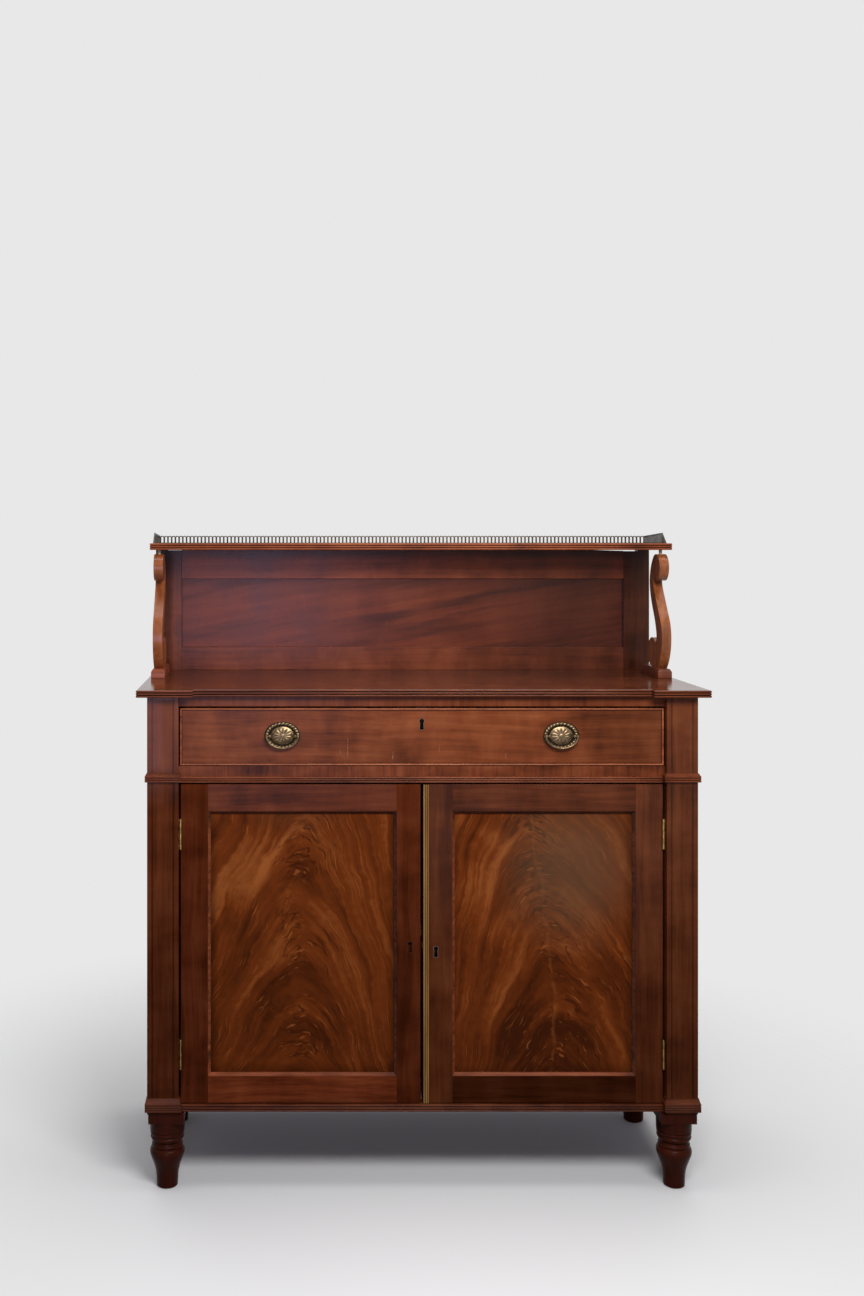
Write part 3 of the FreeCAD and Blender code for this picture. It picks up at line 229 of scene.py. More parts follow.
def buildFlameGroup(spec):
    # crotch veneer: soft feathered bands that fall away from a mottled plume on both sides of a spine
    tree, given, out = newGroup("flameVeneer", {
        "Vector": "Vector", "Dark": "Color", "Mid": "Color", "Light": "Color",
        "Spine": "Float", "Lean": "Float", "Left Fall": "Float", "Right Fall": "Float",
        "Flare": "Float", "Seam": "Float"})
    vector = given["Vector"]
    for wander in spec["wanders"]:
        vector = warped(tree, vector, *wander)
    parts = split(tree, vector)
    lean = times(tree, calc(tree, "SUBTRACT", parts["Z"], spec["leanFrom"]), given["Lean"])
    aside = calc(tree, "SUBTRACT", parts["X"], calc(tree, "ADD", given["Spine"], lean))
    falls = []
    for sign, name in ((-1.0, "Left Fall"), (1.0, "Right Fall")):
        reach = calc(tree, "MAXIMUM", times(tree, aside, sign), 0.0)
        falls.append(times(tree, calc(tree, "POWER", reach, spec["fallPower"]), given[name]))
    across = summed(tree, parts["Z"], *falls)
    flow = addNode(tree, "ShaderNodeCombineXYZ", {"X": aside, "Y": across, "Z": parts["Y"]}).outputs[0]
    broad, feather, wisp, fibre, curl, ring, fleck = layers(
        tree, flow, spec, "broad", "feather", "wisp", "fibre", "curl", "ring", "fleck")
    mottle = cloud(tree, vector, *spec["mottle"])
    keen = band(tree, cloud(tree, given["Vector"], *spec["keen"]), *spec["keenEdge"])
    away = calc(tree, "ABSOLUTE", aside)
    plume = times(tree, fading(tree, away, *spec["plumeEdge"]), keen)
    curls = times(tree, band(tree, curl, *spec["curlEdge"]), plume)
    rings = times(tree, fading(tree, apart(tree, ring, noiseMiddle), *spec["ringEdge"]), plume)
    flecks = times(tree, band(tree, fleck, *spec["fleckEdge"]), keen)
    seam = times(tree, fading(tree, away, *spec["seamEdge"]), band(tree, mottle, *spec["seamBreaks"]))
    figure = summed(
        tree, centred(tree, broad, spec["broadWeight"]), centred(tree, feather, spec["featherWeight"]),
        times(tree, centred(tree, wisp, spec["wispWeight"]), keen), centred(tree, fibre, spec["fibreWeight"]),
        centred(tree, mottle, spec["mottleWeight"]), given["Flare"], spec["base"])
    color = threeTone(tree, figure, given)
    color = laid(tree, color, given["Dark"], curls, spec["curlDark"])
    color = laid(tree, color, given["Dark"], rings, spec["ringDark"])
    color = laid(tree, color, given["Light"], flecks, spec["fleckLight"])
    color = laid(tree, color, given["Light"], seam, given["Seam"])
    feed(tree, out["Color"], color)
    feed(tree, out["Roughness"], calc(tree, "MULTIPLY_ADD", curl, spec["curlRough"], spec["rough"]))
    feed(tree, out["Height"], calc(tree, "MULTIPLY_ADD", feather, spec["featherHeight"], fibre))
    return tree


insideWood = {
    "wander": (2.6, (0.0, 0.03, 0.03)),
    "ring": ((1.6, 60, 60), 3.0, 0.55), "ringEdge": (0.4, 0.66),
    "fibre": ((12, 500, 500), 2.0, 0.5), "fibreDark": 0.4, "fibreRough": 0.2,
    "saw": ((260, 7, 7), 1.0, 0.5), "sawHeight": 0.5,
    # the darkening colour is the grime laid over the bare wood where the soil mask is
    "soil": (6.0, 4.0, 0.6), "soilEdge": (0.4, 0.75), "grime": (0.07, 0.04, 0.022),
    "rough": 0.55,
}


def buildBareGroup(spec):
    # unpolished inside wood, the grain along the vector's X, dulled by age
    tree, given, out = newGroup("bareWood", {
        "Vector": "Vector", "Pale": "Color", "Ring": "Color", "Soil": "Float"})
    ring, fibre = layers(tree, warped(tree, given["Vector"], *spec["wander"]), spec, "ring", "fibre")
    saw = layers(tree, given["Vector"], spec, "saw")[0]
    soil = band(tree, cloud(tree, given["Vector"], *spec["soil"]), *spec["soilEdge"])
    color = mixed(tree, band(tree, ring, *spec["ringEdge"]), given["Pale"], given["Ring"])
    color = laid(tree, color, given["Ring"], fibre, spec["fibreDark"])
    color = laid(tree, color, rgba(spec["grime"]), soil, given["Soil"])
    feed(tree, out["Color"], color)
    feed(tree, out["Roughness"], calc(tree, "MULTIPLY_ADD", fibre, spec["fibreRough"], spec["rough"]))
    feed(tree, out["Height"], calc(tree, "MULTIPLY_ADD", saw, spec["sawHeight"], fibre))
    return tree


oldBrass = {
    "blotch": (150.0, 3.0, 0.6), "wearWeight": 0.5, "rubbedEdge": (0.55, 0.95),
    "patch": (38.0, 3.0, 0.6), "patchEdge": (0.5, 0.72), "patchDark": 0.45, "patchRough": 0.16,
    "speck": (900.0, 2.0, 0.5), "speckHeight": 0.5,
    "rough": 0.27, "hollowRough": 0.25,
}


def buildBrassGroup(spec):
    # old brass: bright where it is rubbed, dull and brown where nothing touches it
    tree, given, out = newGroup("agedBrass", {
        "Vector": "Vector", "Bright": "Color", "Dull": "Color", "Tarnish": "Color",
        "Wear": "Float", "Hollow": "Float"})
    blotch, speck, patch = [
        cloud(tree, given["Vector"], *spec[name]) for name in ("blotch", "speck", "patch")]
    rubbed = calc(tree, "MULTIPLY_ADD", given["Wear"], spec["wearWeight"], blotch)
    color = mixed(tree, band(tree, rubbed, *spec["rubbedEdge"]), given["Dull"], given["Bright"])
    color = laid(tree, color, given["Tarnish"], band(tree, patch, *spec["patchEdge"]), spec["patchDark"])
    color = mixed(tree, given["Hollow"], color, given["Tarnish"])
    feed(tree, out["Color"], color)
    feed(tree, out["Roughness"], summed(
        tree, spec["rough"], times(tree, patch, spec["patchRough"]),
        times(tree, given["Hollow"], spec["hollowRough"])))
    feed(tree, out["Height"], calc(tree, "MULTIPLY_ADD", speck, spec["speckHeight"], blotch))
    return tree


grainGroup = buildGrainGroup(straightGrain)
flameGroup = buildFlameGroup(flameFigure)
bareGroup = buildBareGroup(insideWood)
brassGroup = buildBrassGroup(oldBrass)
print("surface groups built")


# finishes

bumpDistance = 0.001
raggedEdge = (22.0, (0.008, 0.008, 0.008))  # scale and reach of the wander along a shade's edge
coreShare = 0.3  # how much of a narrow mark's width has its full tone
keyholeEdge = 0.0004

grainTurns = {"X": (0, 0, 0), "Y": (0, 0, -math.pi / 2), "Z": (0, math.pi / 2, 0)}

mahogany = {"dark": (0.036, 0.0075, 0.0025), "mid": (0.150, 0.034, 0.0105), "light": (0.245, 0.066, 0.023)}

# painted shade inside each keyhole: its centre, the half size of the box round it and how dark
keyholes = {
    "drawer": {"centre": (0.0, -0.168, 0.8671), "half": (0.008, 0.0066, 0.0135), "darkness": 0.97},
    "rightDoor": {"centre": (0.0263, -0.168, 0.4427), "half": (0.008, 0.0066, 0.0135), "darkness": 0.97},
    "leftDoor": {"centre": (-0.0219, -0.1705, 0.4517), "half": (0.008, 0.0045, 0.0135), "darkness": 0.3},
}


def newMaterial(name, group, inputs, gloss, bump, metal=0.0, turn=(0, 0, 0), place=(0, 0, 0),
                stretch=(1, 1, 1)):
    # one surface group into one Principled shader
    material = bpy.data.materials.new(name)
    material.use_nodes = True
    tree = material.node_tree
    shader = tree.nodes["Principled BSDF"]
    coords = addNode(tree, "ShaderNodeTexCoord").outputs["Object"]
    turned = addNode(tree, "ShaderNodeMapping", {
        "Vector": coords, "Rotation": turn, "Location": place, "Scale": stretch}).outputs[0]
    surface = addNode(tree, "ShaderNodeGroup", node_tree=group)
    for key, value in {"Vector": turned, **inputs}.items():
        feed(tree, surface.inputs[key], value)
    relief = addNode(tree, "ShaderNodeBump", {
        "Height": surface.outputs["Height"], "Strength": bump, "Distance": bumpDistance}).outputs[0]
    for key, value in (
            ("Base Color", surface.outputs["Color"]), ("Roughness", surface.outputs["Roughness"]),
            ("Normal", relief), ("Specular IOR Level", gloss), ("Metallic", metal)):
        feed(tree, shader.inputs[key], value)
    return {"material": material, "tree": tree, "shader": shader, "surface": surface, "coords": coords}


def overlaid(made, factor, color, mode="MIX"):
    # lays another colour over the finished one
    tree, socket = made["tree"], made["shader"].inputs["Base Color"]
    feed(tree, socket, mixed(tree, factor, socket.links[0].from_socket, color, mode))


def toned(made, amount):
    # multiplies the finished colour by a grey amount
    overlaid(made, 1.0, amount, "MULTIPLY")


def paintedLightShadeAndGrime(made, axis, start, end, tone):
    # painted light and shade, and in a few places grime: the colour changes by a factor from one place to
    # another along an axis
    tree = made["tree"]
    place = split(tree, warped(tree, made["coords"], *raggedEdge))[axis]
    toned(made, band(tree, place, start, end, 1.0, tone))


def sheened(made, low, high, dull, bright):
    # how strongly the polish reflects, changing with the height
    tree = made["tree"]
    height = split(tree, made["coords"])["Z"]
    feed(tree, made["shader"].inputs["Specular IOR Level"], band(tree, height, low, high, dull, bright))


def grooved(made, axis, places, width, tone):
    # painted shade and dirt along narrow grooves that cross an axis at the given places
    tree = made["tree"]
    along = split(tree, made["coords"])[axis]
    for place in places:
        toned(made, band(tree, apart(tree, along, place), width * coreShare, width, tone, 1.0))


def keyholeShaded(made, centre, half, darkness):
    # painted shade inside a keyhole, as a box round it
    tree = made["tree"]
    parts = split(tree, made["coords"])
    inside = 1.0
    for axis, middle, reach in zip("XYZ", centre, half):
        beside = apart(tree, parts[axis], middle)
        inside = times(tree, fading(tree, beside, reach - keyholeEdge, reach), inside)
    toned(made, calc(tree, "MULTIPLY_ADD", inside, -darkness, 1.0))


def finished(made, shades=(), grooves=(), keyhole=None, sheen=None):
    if sheen:
        sheened(made, *sheen)
    for shade in shades:
        paintedLightShadeAndGrime(made, *shade)
    for groove in grooves:
        grooved(made, *groove)
    if keyhole:
        keyholeShaded(made, **keyholes[keyhole])
    return made


def mahoganyMaterial(name, grain, tone=1.0, slant=0.0, place=(0, 0, 0), streaks=1.0, smoke=0.5, mottle=0.6,
                     warm=1.0, gloss=0.12, rough=0.21, bump=0.03, **marks):
    turnX, turnY, turnZ = grainTurns[grain]
    inputs = {"Streaks": streaks, "Smoke": smoke, "Mottle": mottle, "Rough": rough}
    for key, (red, green, blue) in mahogany.items():
        inputs[key.capitalize()] = rgba((red, green * warm, blue * warm), tone)
    turn = (turnX, turnY + math.radians(slant), turnZ)
    return finished(newMaterial(name, grainGroup, inputs, gloss, bump, turn=turn, place=place), **marks)


def bareMaterial(name, grain, pale=(0.36, 0.22, 0.11), ring=(0.2, 0.1, 0.045), tone=1.0, soil=0.5,
                 gloss=0.25, bump=0.22, place=(0, 0, 0)):
    inputs = {"Pale": rgba(pale, tone), "Ring": rgba(ring, tone), "Soil": soil}
    return newMaterial(name, bareGroup, inputs, gloss, bump, turn=grainTurns[grain], place=place)


def brassMaterial(name, bright, dull, tarnish=(0.035, 0.024, 0.013), wear=0.5, gloss=0.5, bump=0.12,
                  stretch=(1, 1, 1), **marks):
    inputs = {"Bright": rgba(bright), "Dull": rgba(dull), "Tarnish": rgba(tarnish), "Wear": wear}
    return finished(newMaterial(name, brassGroup, inputs, gloss, bump, metal=1.0, stretch=stretch), **marks)


# the pieces, each with its finish; ease is how far its arrises are rounded over, a shade (painted light and
# shade) is axis, start, end and factor, a groove (painted shade and dirt) is axis, places, half width and
# factor, and a sheen is low, high, dull and bright

sidePanel = {"grain": "Z", "ease": 0.0008, "smoke": 0.5, "mottle": 0.7, "gloss": 0.04}

mahoganyPieces = {
    # top board: the shade lightens the reeded front edge as a painted highlight, and the grooves paint shade
    # between the reeds
    "top_board": {
        "grain": "X", "tone": 0.58, "streaks": 0.5, "smoke": 0.3, "mottle": 0.3, "rough": 0.1, "bump": 0.01,
        "sheen": (0.932, 0.9334, 0.12, 0.4), "shades": (("Z", 0.9334, 0.931, 1.75),),
        "grooves": (("Z", (0.9245, 0.929), 0.0017, 0.1),)},
    # the grooves paint shade and dirt between the reeds
    "gallery_shelf": {
        "grain": "X", "tone": 1.6, "streaks": 0.6, "smoke": 0.2, "bump": 0.015, "place": (0.7, 0, 0),
        "grooves": (("Z", (1.196, 1.2005), 0.0013, 0.3),)},
    # raised back: the shades paint the shadow under the gallery shelf, the scroll's shadow on the left stile,
    # a lighter top rail and darker right-hand parts, and the grooves paint shade along the panel's edges
    "upper_back_panel": {
        "grain": "X", "tone": 1.0, "warm": 0.82, "slant": 9.0, "streaks": 0.4, "smoke": 0.75, "mottle": 0.3,
        "gloss": 0.17, "place": (1.3, 0, 0.2), "shades": (("X", 0.0, 0.4, 0.44),),
        "grooves": (("X", (-0.4745, 0.4745), 0.003, 0.4), ("Z", (1.1295,), 0.0025, 0.4))},
    "upper_back_rails": {
        "grain": "X", "tone": 1.1, "warm": 0.92, "streaks": 0.5, "smoke": 0.2, "gloss": 0.16, "ease": 0.0006,
        "place": (2.1, 0, 0),
        "shades": (("Z", 1.1, 1.13, 1.95), ("Z", 1.163, 1.184, 0.3), ("X", 0.0, 0.4, 0.55))},
    "upper_back_stiles": {
        "grain": "Z", "tone": 1.0, "streaks": 0.6, "smoke": 0.3, "gloss": 0.16, "ease": 0.0008,
        "shades": (("Z", 1.155, 1.184, 0.4), ("X", -0.492, -0.505, 0.5), ("X", 0.0, 0.4, 0.42))},
    "left_scroll": {
        "grain": "Z", "tone": 2.0, "warm": 1.25, "streaks": 0.6, "smoke": 0.05, "mottle": 0.4, "gloss": 0.35,
        "rough": 0.14, "ease": 0.0012},
    "right_scroll": {
        "grain": "Z", "tone": 1.7, "warm": 1.32, "streaks": 0.6, "smoke": 0.05, "mottle": 0.4, "gloss": 0.3,
        "rough": 0.14, "ease": 0.0012},
    # the shade paints the left plinth lighter and the right one darker, as painted light and shade
    "scroll_plinths": {
        "grain": "X", "tone": 1.75, "streaks": 0.5, "gloss": 0.3, "ease": 0.0008,
        "shades": (("X", -0.3, 0.3, 0.6),)},
    # pilasters: painted shade darkens them towards the bottom, painted light brightens them at the drawer,
    # and the grooves paint shade at the sunk fields' edges
    "left_pilaster": {
        "grain": "Z", "tone": 0.7, "streaks": 0.45, "smoke": 0.25, "ease": 0.0008,
        "sheen": (0.7, 0.8, 0.01, 0.16), "shades": (("Z", 0.7, 0.2, 0.72), ("Z", 0.77, 0.8, 1.4)),
        "grooves": (("X", (-0.5015, -0.4625), 0.0024, 0.5),)},
    "right_pilaster": {
        "grain": "Z", "tone": 0.7, "warm": 1.1, "streaks": 0.45, "smoke": 0.25, "ease": 0.0008,
        "sheen": (0.4, 0.8, 0.02, 0.12), "shades": (("Z", 0.7, 0.2, 0.8), ("Z", 0.77, 0.8, 1.2)),
        "grooves": (("X", (0.4625, 0.5015), 0.0024, 0.55),)},
    # the shade darkens the lower base blocks as painted shade, and the grooves paint shade between the reeds
    "pilaster_blocks": {
        "grain": "X", "tone": 0.95, "place": (0.4, 0, 0), "shades": (("Z", 0.5, 0.2, 0.62),),
        "grooves": (("Z", (0.154775, 0.15895, 0.163125, 0.7658, 0.7698), 0.0012, 0.4),)},
    "left_side_panel": sidePanel,
    "right_side_panel": sidePanel,
    "frieze_rail": {
        "grain": "Z", "tone": 0.93, "streaks": 0.5, "smoke": 0.3, "mottle": 0.8, "gloss": 0.09},
    "drawer_rail": {
        "grain": "Z", "tone": 0.97, "streaks": 0.6, "smoke": 0.3, "mottle": 1.1, "gloss": 0.09,
        "place": (0.3, 0.4, 0)},
    # waist and base mouldings: the grooves paint shade and dirt between the reeds
    "waist_moulding": {
        "grain": "X", "tone": 1.0, "grooves": (("Z", (0.76183, 0.76567), 0.0011, 0.35),)},
    "base_moulding": {
        "grain": "X", "tone": 0.7, "gloss": 0.08, "grooves": (("Z", (0.1498, 0.1544), 0.0013, 0.35),)},
    "front_feet": {
        "grain": "Z", "tone": 0.29, "warm": 0.7, "streaks": 0.4, "smoke": 0.1, "gloss": 0.05, "rough": 0.16},
    "back_feet": {
        "grain": "Z", "tone": 0.24, "warm": 0.7, "streaks": 0.4, "smoke": 0.1, "gloss": 0.03, "rough": 0.3},
    "drawer_cock_beads": {
        "grain": "X", "tone": 1.8, "warm": 1.15, "smoke": 0.0, "gloss": 0.25},
    # door stiles and rails: the shades change the colour towards the bottom as painted light and shade
    "left_door_stiles": {
        "grain": "Z", "tone": 0.65, "warm": 0.9, "streaks": 0.5, "gloss": 0.0, "ease": 0.0005,
        "place": (0.2, 0.5, 0), "shades": (("Z", 0.7, 0.2, 0.85),), "keyhole": "leftDoor"},
    "left_door_rails": {
        "grain": "X", "tone": 0.73, "warm": 0.9, "streaks": 0.7, "ease": 0.0005, "place": (0.9, 0.5, 0.3),
        "sheen": (0.3, 0.7, 0.0, 0.1), "shades": (("Z", 0.7, 0.22, 1.45),)},
    # the panel beads' shades paint light on the left and bottom beads and shade on the top and right ones
    "left_door_panel_beads": {
        "grain": "X", "tone": 0.9, "smoke": 0.1,
        "shades": (("X", -0.08, -0.04, 0.5), ("Z", 0.66, 0.69, 0.5), ("Z", 0.24, 0.23, 1.2),
                   ("X", -0.37, -0.39, 1.3))},
    # door stiles and rails: the shades change the colour towards the bottom as painted light and shade
    "right_door_stiles": {
        "grain": "Z", "tone": 0.7, "warm": 1.06, "streaks": 0.5, "ease": 0.0005, "place": (1.2, 0.1, 0),
        "sheen": (0.3, 0.72, 0.01, 0.12), "shades": (("Z", 0.7, 0.2, 0.75),), "keyhole": "rightDoor"},
    "right_door_rails": {
        "grain": "X", "tone": 0.62, "streaks": 0.7, "ease": 0.0005, "place": (1.9, 0.5, 0.6),
        "sheen": (0.3, 0.7, 0.0, 0.12), "shades": (("Z", 0.7, 0.22, 0.5),)},
    # the panel beads' shades paint light on the left and bottom beads and shade on the top and right ones
    "right_door_panel_beads": {
        "grain": "X", "tone": 0.9, "smoke": 0.1,
        "shades": (("X", 0.37, 0.39, 0.5), ("Z", 0.66, 0.69, 0.5), ("Z", 0.24, 0.23, 1.25),
                   ("X", 0.08, 0.065, 1.3))},
}

barePieces = {
    "bottom_board": {"grain": "X", "tone": 0.8, "soil": 0.6, "ease": 0.0008},
    "back_boards": {"grain": "Z", "tone": 0.55, "soil": 0.85, "ease": 0.001},
    "drawer_runners": {"grain": "Y", "ease": 0.0008},
    "drawer_kickers": {"grain": "Y", "ease": 0.0008},
    "drawer_stops": {"grain": "X", "ease": 0.0006},
    "cupboard_shelf": {"grain": "X", "ease": 0.001},
    "shelf_bearers": {"grain": "Y", "ease": 0.0008},
    "drawer_sides": {"grain": "Y", "tone": 1.1, "soil": 0.3, "ease": 0.0006},
    "drawer_back": {"grain": "X", "tone": 1.1, "soil": 0.3, "ease": 0.0006},
    "drawer_bottom": {"grain": "X", "soil": 0.4, "place": (0, 0.3, 0)},
}

shelfPegs = {"grain": "Z", "pale": (0.62, 0.46, 0.28), "ring": (0.45, 0.3, 0.16), "soil": 0.3, "gloss": 0.3,
             "bump": 0.1}

lockBrass = {"bright": (0.45, 0.31, 0.13), "dull": (0.24, 0.15, 0.065), "wear": 0.4}
boltSteel = {"bright": (0.36, 0.35, 0.33), "dull": (0.2, 0.19, 0.18), "tarnish": (0.09, 0.06, 0.045),
             "wear": 0.4}

brassLooks = {
    # the shade darkens the lower hinges as painted shade
    "hingeBrass": {
        "bright": (0.46, 0.3, 0.1), "dull": (0.2, 0.12, 0.04), "shades": (("Z", 0.55, 0.35, 0.55),)},
    # the strip is darker towards the bottom, and its grooves paint shade and dirt between the reeds
    "stripBrass": {
        "bright": (0.4, 0.22, 0.07), "dull": (0.24, 0.12, 0.034), "tarnish": (0.13, 0.06, 0.02), "wear": 0.45,
        "bump": 0.04, "stretch": (1.0, 1.0, 0.04), "shades": (("Z", 0.6, 0.25, 0.8),),
        "grooves": (("X", (0.0061, 0.0097), 0.0011, 0.4),)},
    "plateBrass": {
        "bright": (0.21, 0.145, 0.08), "dull": (0.1, 0.066, 0.034), "tarnish": (0.014, 0.01, 0.006)},
    "liningBrass": {"bright": (0.15, 0.1, 0.075), "dull": (0.1, 0.065, 0.048), "wear": 0.4},
    "leftLiningBrass": {"bright": (0.06, 0.03, 0.02), "dull": (0.04, 0.018, 0.011), "wear": 0.3},
    "lockBrass": lockBrass,
    # the locks that a keyhole names get its painted shade
    "drawerLockBrass": {**lockBrass, "keyhole": "drawer"},
    "doorLockBrass": {**lockBrass, "keyhole": "rightDoor"},
    "galleryBronze": {
        "bright": (0.085, 0.06, 0.04), "dull": (0.035, 0.027, 0.021), "tarnish": (0.016, 0.014, 0.013),
        "wear": 0.35},
    # the bolts that a keyhole names get its painted shade
    "drawerBoltSteel": {**boltSteel, "keyhole": "drawer"},
    "doorBoltSteel": {**boltSteel, "keyhole": "rightDoor"},
}

brassPieces = {
    "carcass_hinge_leaves": "hingeBrass", "hinge_pins": "hingeBrass", "left_door_hinge_leaves": "hingeBrass",
    "right_door_hinge_leaves": "hingeBrass", "meeting_strip": "stripBrass", "handle_posts": "plateBrass",
    "left_bail": "plateBrass", "right_bail": "plateBrass", "drawer_keyhole_lining": "liningBrass",
    "left_door_keyhole_lining": "leftLiningBrass", "right_door_keyhole_lining": "liningBrass",
    "left_door_bolt_plate": "lockBrass", "left_door_bolt": "lockBrass", "drawer_lock": "drawerLockBrass",
    "door_lock": "doorLockBrass", "brass_gallery": "galleryBronze", "drawer_lock_bolt": "drawerBoltSteel",
    "door_lock_bolt": "doorBoltSteel",
}

# lengths in metres and angles in degrees
easing = {"merge": 0.000002, "flatAngle": 0.4, "shortest": 0.004, "arrisAngle": 50, "sharpAngle": 60,
          "segments": 2}


def pieceName(node):
    words = node.split("_")
    return words[0] + "".join(word.capitalize() for word in words[1:])


def easedCopy(node, width, material, spec):
    # a merged copy of the board with its long arrises rounded over, standing for the CAD node
    bm = bmesh.new()
    bm.from_mesh(frame["nodes"][node].data)
    bmesh.ops.remove_doubles(bm, verts=bm.verts, dist=spec["merge"])
    bmesh.ops.dissolve_limit(bm, angle_limit=math.radians(spec["flatAngle"]), verts=bm.verts, edges=bm.edges)
    arrises = []
    for edge in bm.edges:
        if edge.is_manifold and edge.is_convex and edge.calc_length() > spec["shortest"]:
            if edge.calc_face_angle(0.0) > math.radians(spec["arrisAngle"]):
                arrises.append(edge)
    bmesh.ops.bevel(bm, geom=arrises, affect="EDGES", offset=width, offset_type="OFFSET",
                    segments=spec["segments"], profile=0.5, clamp_overlap=True, material=-1)
    for face in bm.faces:
        face.smooth = True
    mesh = bpy.data.meshes.new(pieceName(node))
    bm.to_mesh(mesh)
    bm.free()
    if "custom_normal" in mesh.attributes:
        mesh.attributes.remove(mesh.attributes["custom_normal"])
    mesh.set_sharp_from_angle(angle=math.radians(spec["sharpAngle"]))
    mesh.materials.append(material)
    piece = bpy.data.objects.new(pieceName(node), mesh)
    scene.collection.objects.link(piece)
    piece.modifiers.new("evenShading", "WEIGHTED_NORMAL").keep_sharp = True
    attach(piece, nodeBody[node])
    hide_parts(node)


def dress(node, made, ease=0.0):
    if ease:
        easedCopy(node, ease, made["material"], easing)
    else:
        mesh = frame["nodes"][node].data
        mesh.materials.clear()
        mesh.materials.append(made["material"])


def dressAll(pieces, makeMaterial, finish):
    for node, spec in pieces.items():
        look = {key: value for key, value in spec.items() if key != "ease"}
        dress(node, makeMaterial(pieceName(node) + finish, **look), spec.get("ease", 0.0))


dressAll(mahoganyPieces, mahoganyMaterial, "Mahogany")
print("mahogany pieces:", len(mahoganyPieces))

dressAll(barePieces, bareMaterial, "Wood")
dress("shelf_pegs", bareMaterial("pegWood", **shelfPegs))
print("bare wood pieces:", len(barePieces) + 1)

brassFinishes = {name: brassMaterial(name, **look) for name, look in brassLooks.items()}
for node, name in brassPieces.items():
    dress(node, brassFinishes[name])
print("brass pieces:", len(brassPieces))


# drawer front: smoky streaks and a few pale knocks, each knock x, lowest and highest z and half width

drawerFace = {
    "look": {
        "grain": "X", "tone": 1.2, "warm": 1.07, "streaks": 0.5, "smoke": 0.3, "mottle": 0.7, "gloss": 0.08,
        # the drawer is darker towards its right end, its grooves paint shade and dirt beside the cock bead,
        # and the keyhole gets painted shade
        "place": (0.15, 0, 0.07), "shades": (("X", 0.2, 0.4, 0.7),), "keyhole": "drawer",
        "grooves": (("Z", (0.7937, 0.8938), 0.0028, 0.45), ("X", (-0.4478, 0.4478), 0.0028, 0.45))},
    "ease": 0.0004,
    "knocks": ((-0.138, 0.803, 0.845, 0.0011), (-0.054, 0.801, 0.818, 0.0016), (0.157, 0.8, 0.814, 0.0012),
               (-0.152, 0.806, 0.82, 0.0008), (0.033, 0.815, 0.832, 0.0007)),
    "knockColor": (0.4, 0.2, 0.12), "knockStrength": 0.5,
    "knockWander": (90.0, (0.002, 0.0, 0.004)),
    "rub": (420.0, 2.0, 0.5), "rubEdge": (0.38, 0.6),
}


def makeDrawerFront(spec):
    made = mahoganyMaterial("drawerFrontMahogany", **spec["look"])
    tree, coords = made["tree"], made["coords"]
    parts = split(tree, warped(tree, coords, *spec["knockWander"]))
    worn = 0.0
    for x, low, high, width in spec["knocks"]:
        middle, half = (low + high) / 2, (high - low) / 2
        across = fading(tree, apart(tree, parts["X"], x), width * coreShare, width)
        along = fading(tree, apart(tree, parts["Z"], middle), 2 * half * coreShare, half)
        worn = calc(tree, "MAXIMUM", times(tree, across, along), worn)
    rub = band(tree, cloud(tree, coords, *spec["rub"]), *spec["rubEdge"])
    strength = times(tree, times(tree, worn, rub), spec["knockStrength"])
    overlaid(made, strength, rgba(spec["knockColor"]))
    dress("drawer_front", made, spec["ease"])


makeDrawerFront(drawerFace)
print("drawer front done")


# door panels in flame veneer; a flare and a painted sheen (a patch of painted reflection on the polish) are
# x, z, half length, half width, tilt in degrees and lift

doorPanels = {
    "left_door_panel": {
        "spine": -0.215, "lean": 0.03, "leftFall": 5.5, "rightFall": 11.0, "seam": 0.0, "gloss": 0.015,
        # the last flare, broad and low, darkens the panel's lower part as painted shade
        "flares": ((-0.32, 0.6, 0.15, 0.07, 55, 0.46), (-0.375, 0.55, 0.08, 0.03, 80, 0.2),
                   (-0.338, 0.495, 0.06, 0.04, 70, -0.22), (-0.226, 0.585, 0.1, 0.04, 90, -0.1),
                   (-0.25, 0.436, 0.06, 0.04, 40, 0.1), (-0.114, 0.57, 0.13, 0.05, 95, 0.06),
                   (-0.345, 0.41, 0.1, 0.07, 60, -0.12), (-0.226, 0.27, 0.2, 0.09, 0, -0.16)),
        # darkening: darker towards the panel's left, right and bottom edges, painted shade in the recess
        # beside the frame with grime
        "grime": (("X", -0.376, -0.394, 0.5), ("X", -0.07, -0.0515, 0.55), ("Z", 0.24, 0.2155, 0.6)),
        "bloom": (-0.25, 0.72, 0.16, 0.07, 0, 0.12),
    },
    "right_door_panel": {
        "spine": 0.233, "lean": -0.097, "leftFall": 7.5, "rightFall": 5.5, "seam": 0.25, "gloss": 0.02,
        # the last flare, broad and low, darkens the panel's lower part as painted shade
        "flares": ((0.115, 0.58, 0.13, 0.05, 74, 0.4), (0.155, 0.645, 0.05, 0.03, -25, 0.25),
                   (0.15, 0.49, 0.07, 0.04, 60, 0.16), (0.278, 0.44, 0.09, 0.035, -55, 0.14),
                   (0.325, 0.51, 0.15, 0.03, -77, 0.04), (0.11, 0.43, 0.09, 0.05, 70, -0.12),
                   (0.35, 0.4, 0.12, 0.05, -80, -0.2), (0.235, 0.25, 0.2, 0.1, 0, -0.4)),
        # darkening: darker towards the panel's left, right and bottom edges, painted shade in the recess
        # beside the frame with grime
        "grime": (("X", 0.374, 0.394, 0.6), ("X", 0.074, 0.0623, 0.75), ("Z", 0.235, 0.2155, 0.65)),
        "bloom": (0.28, 0.6, 0.18, 0.2, 0, 0.6),
    },
}

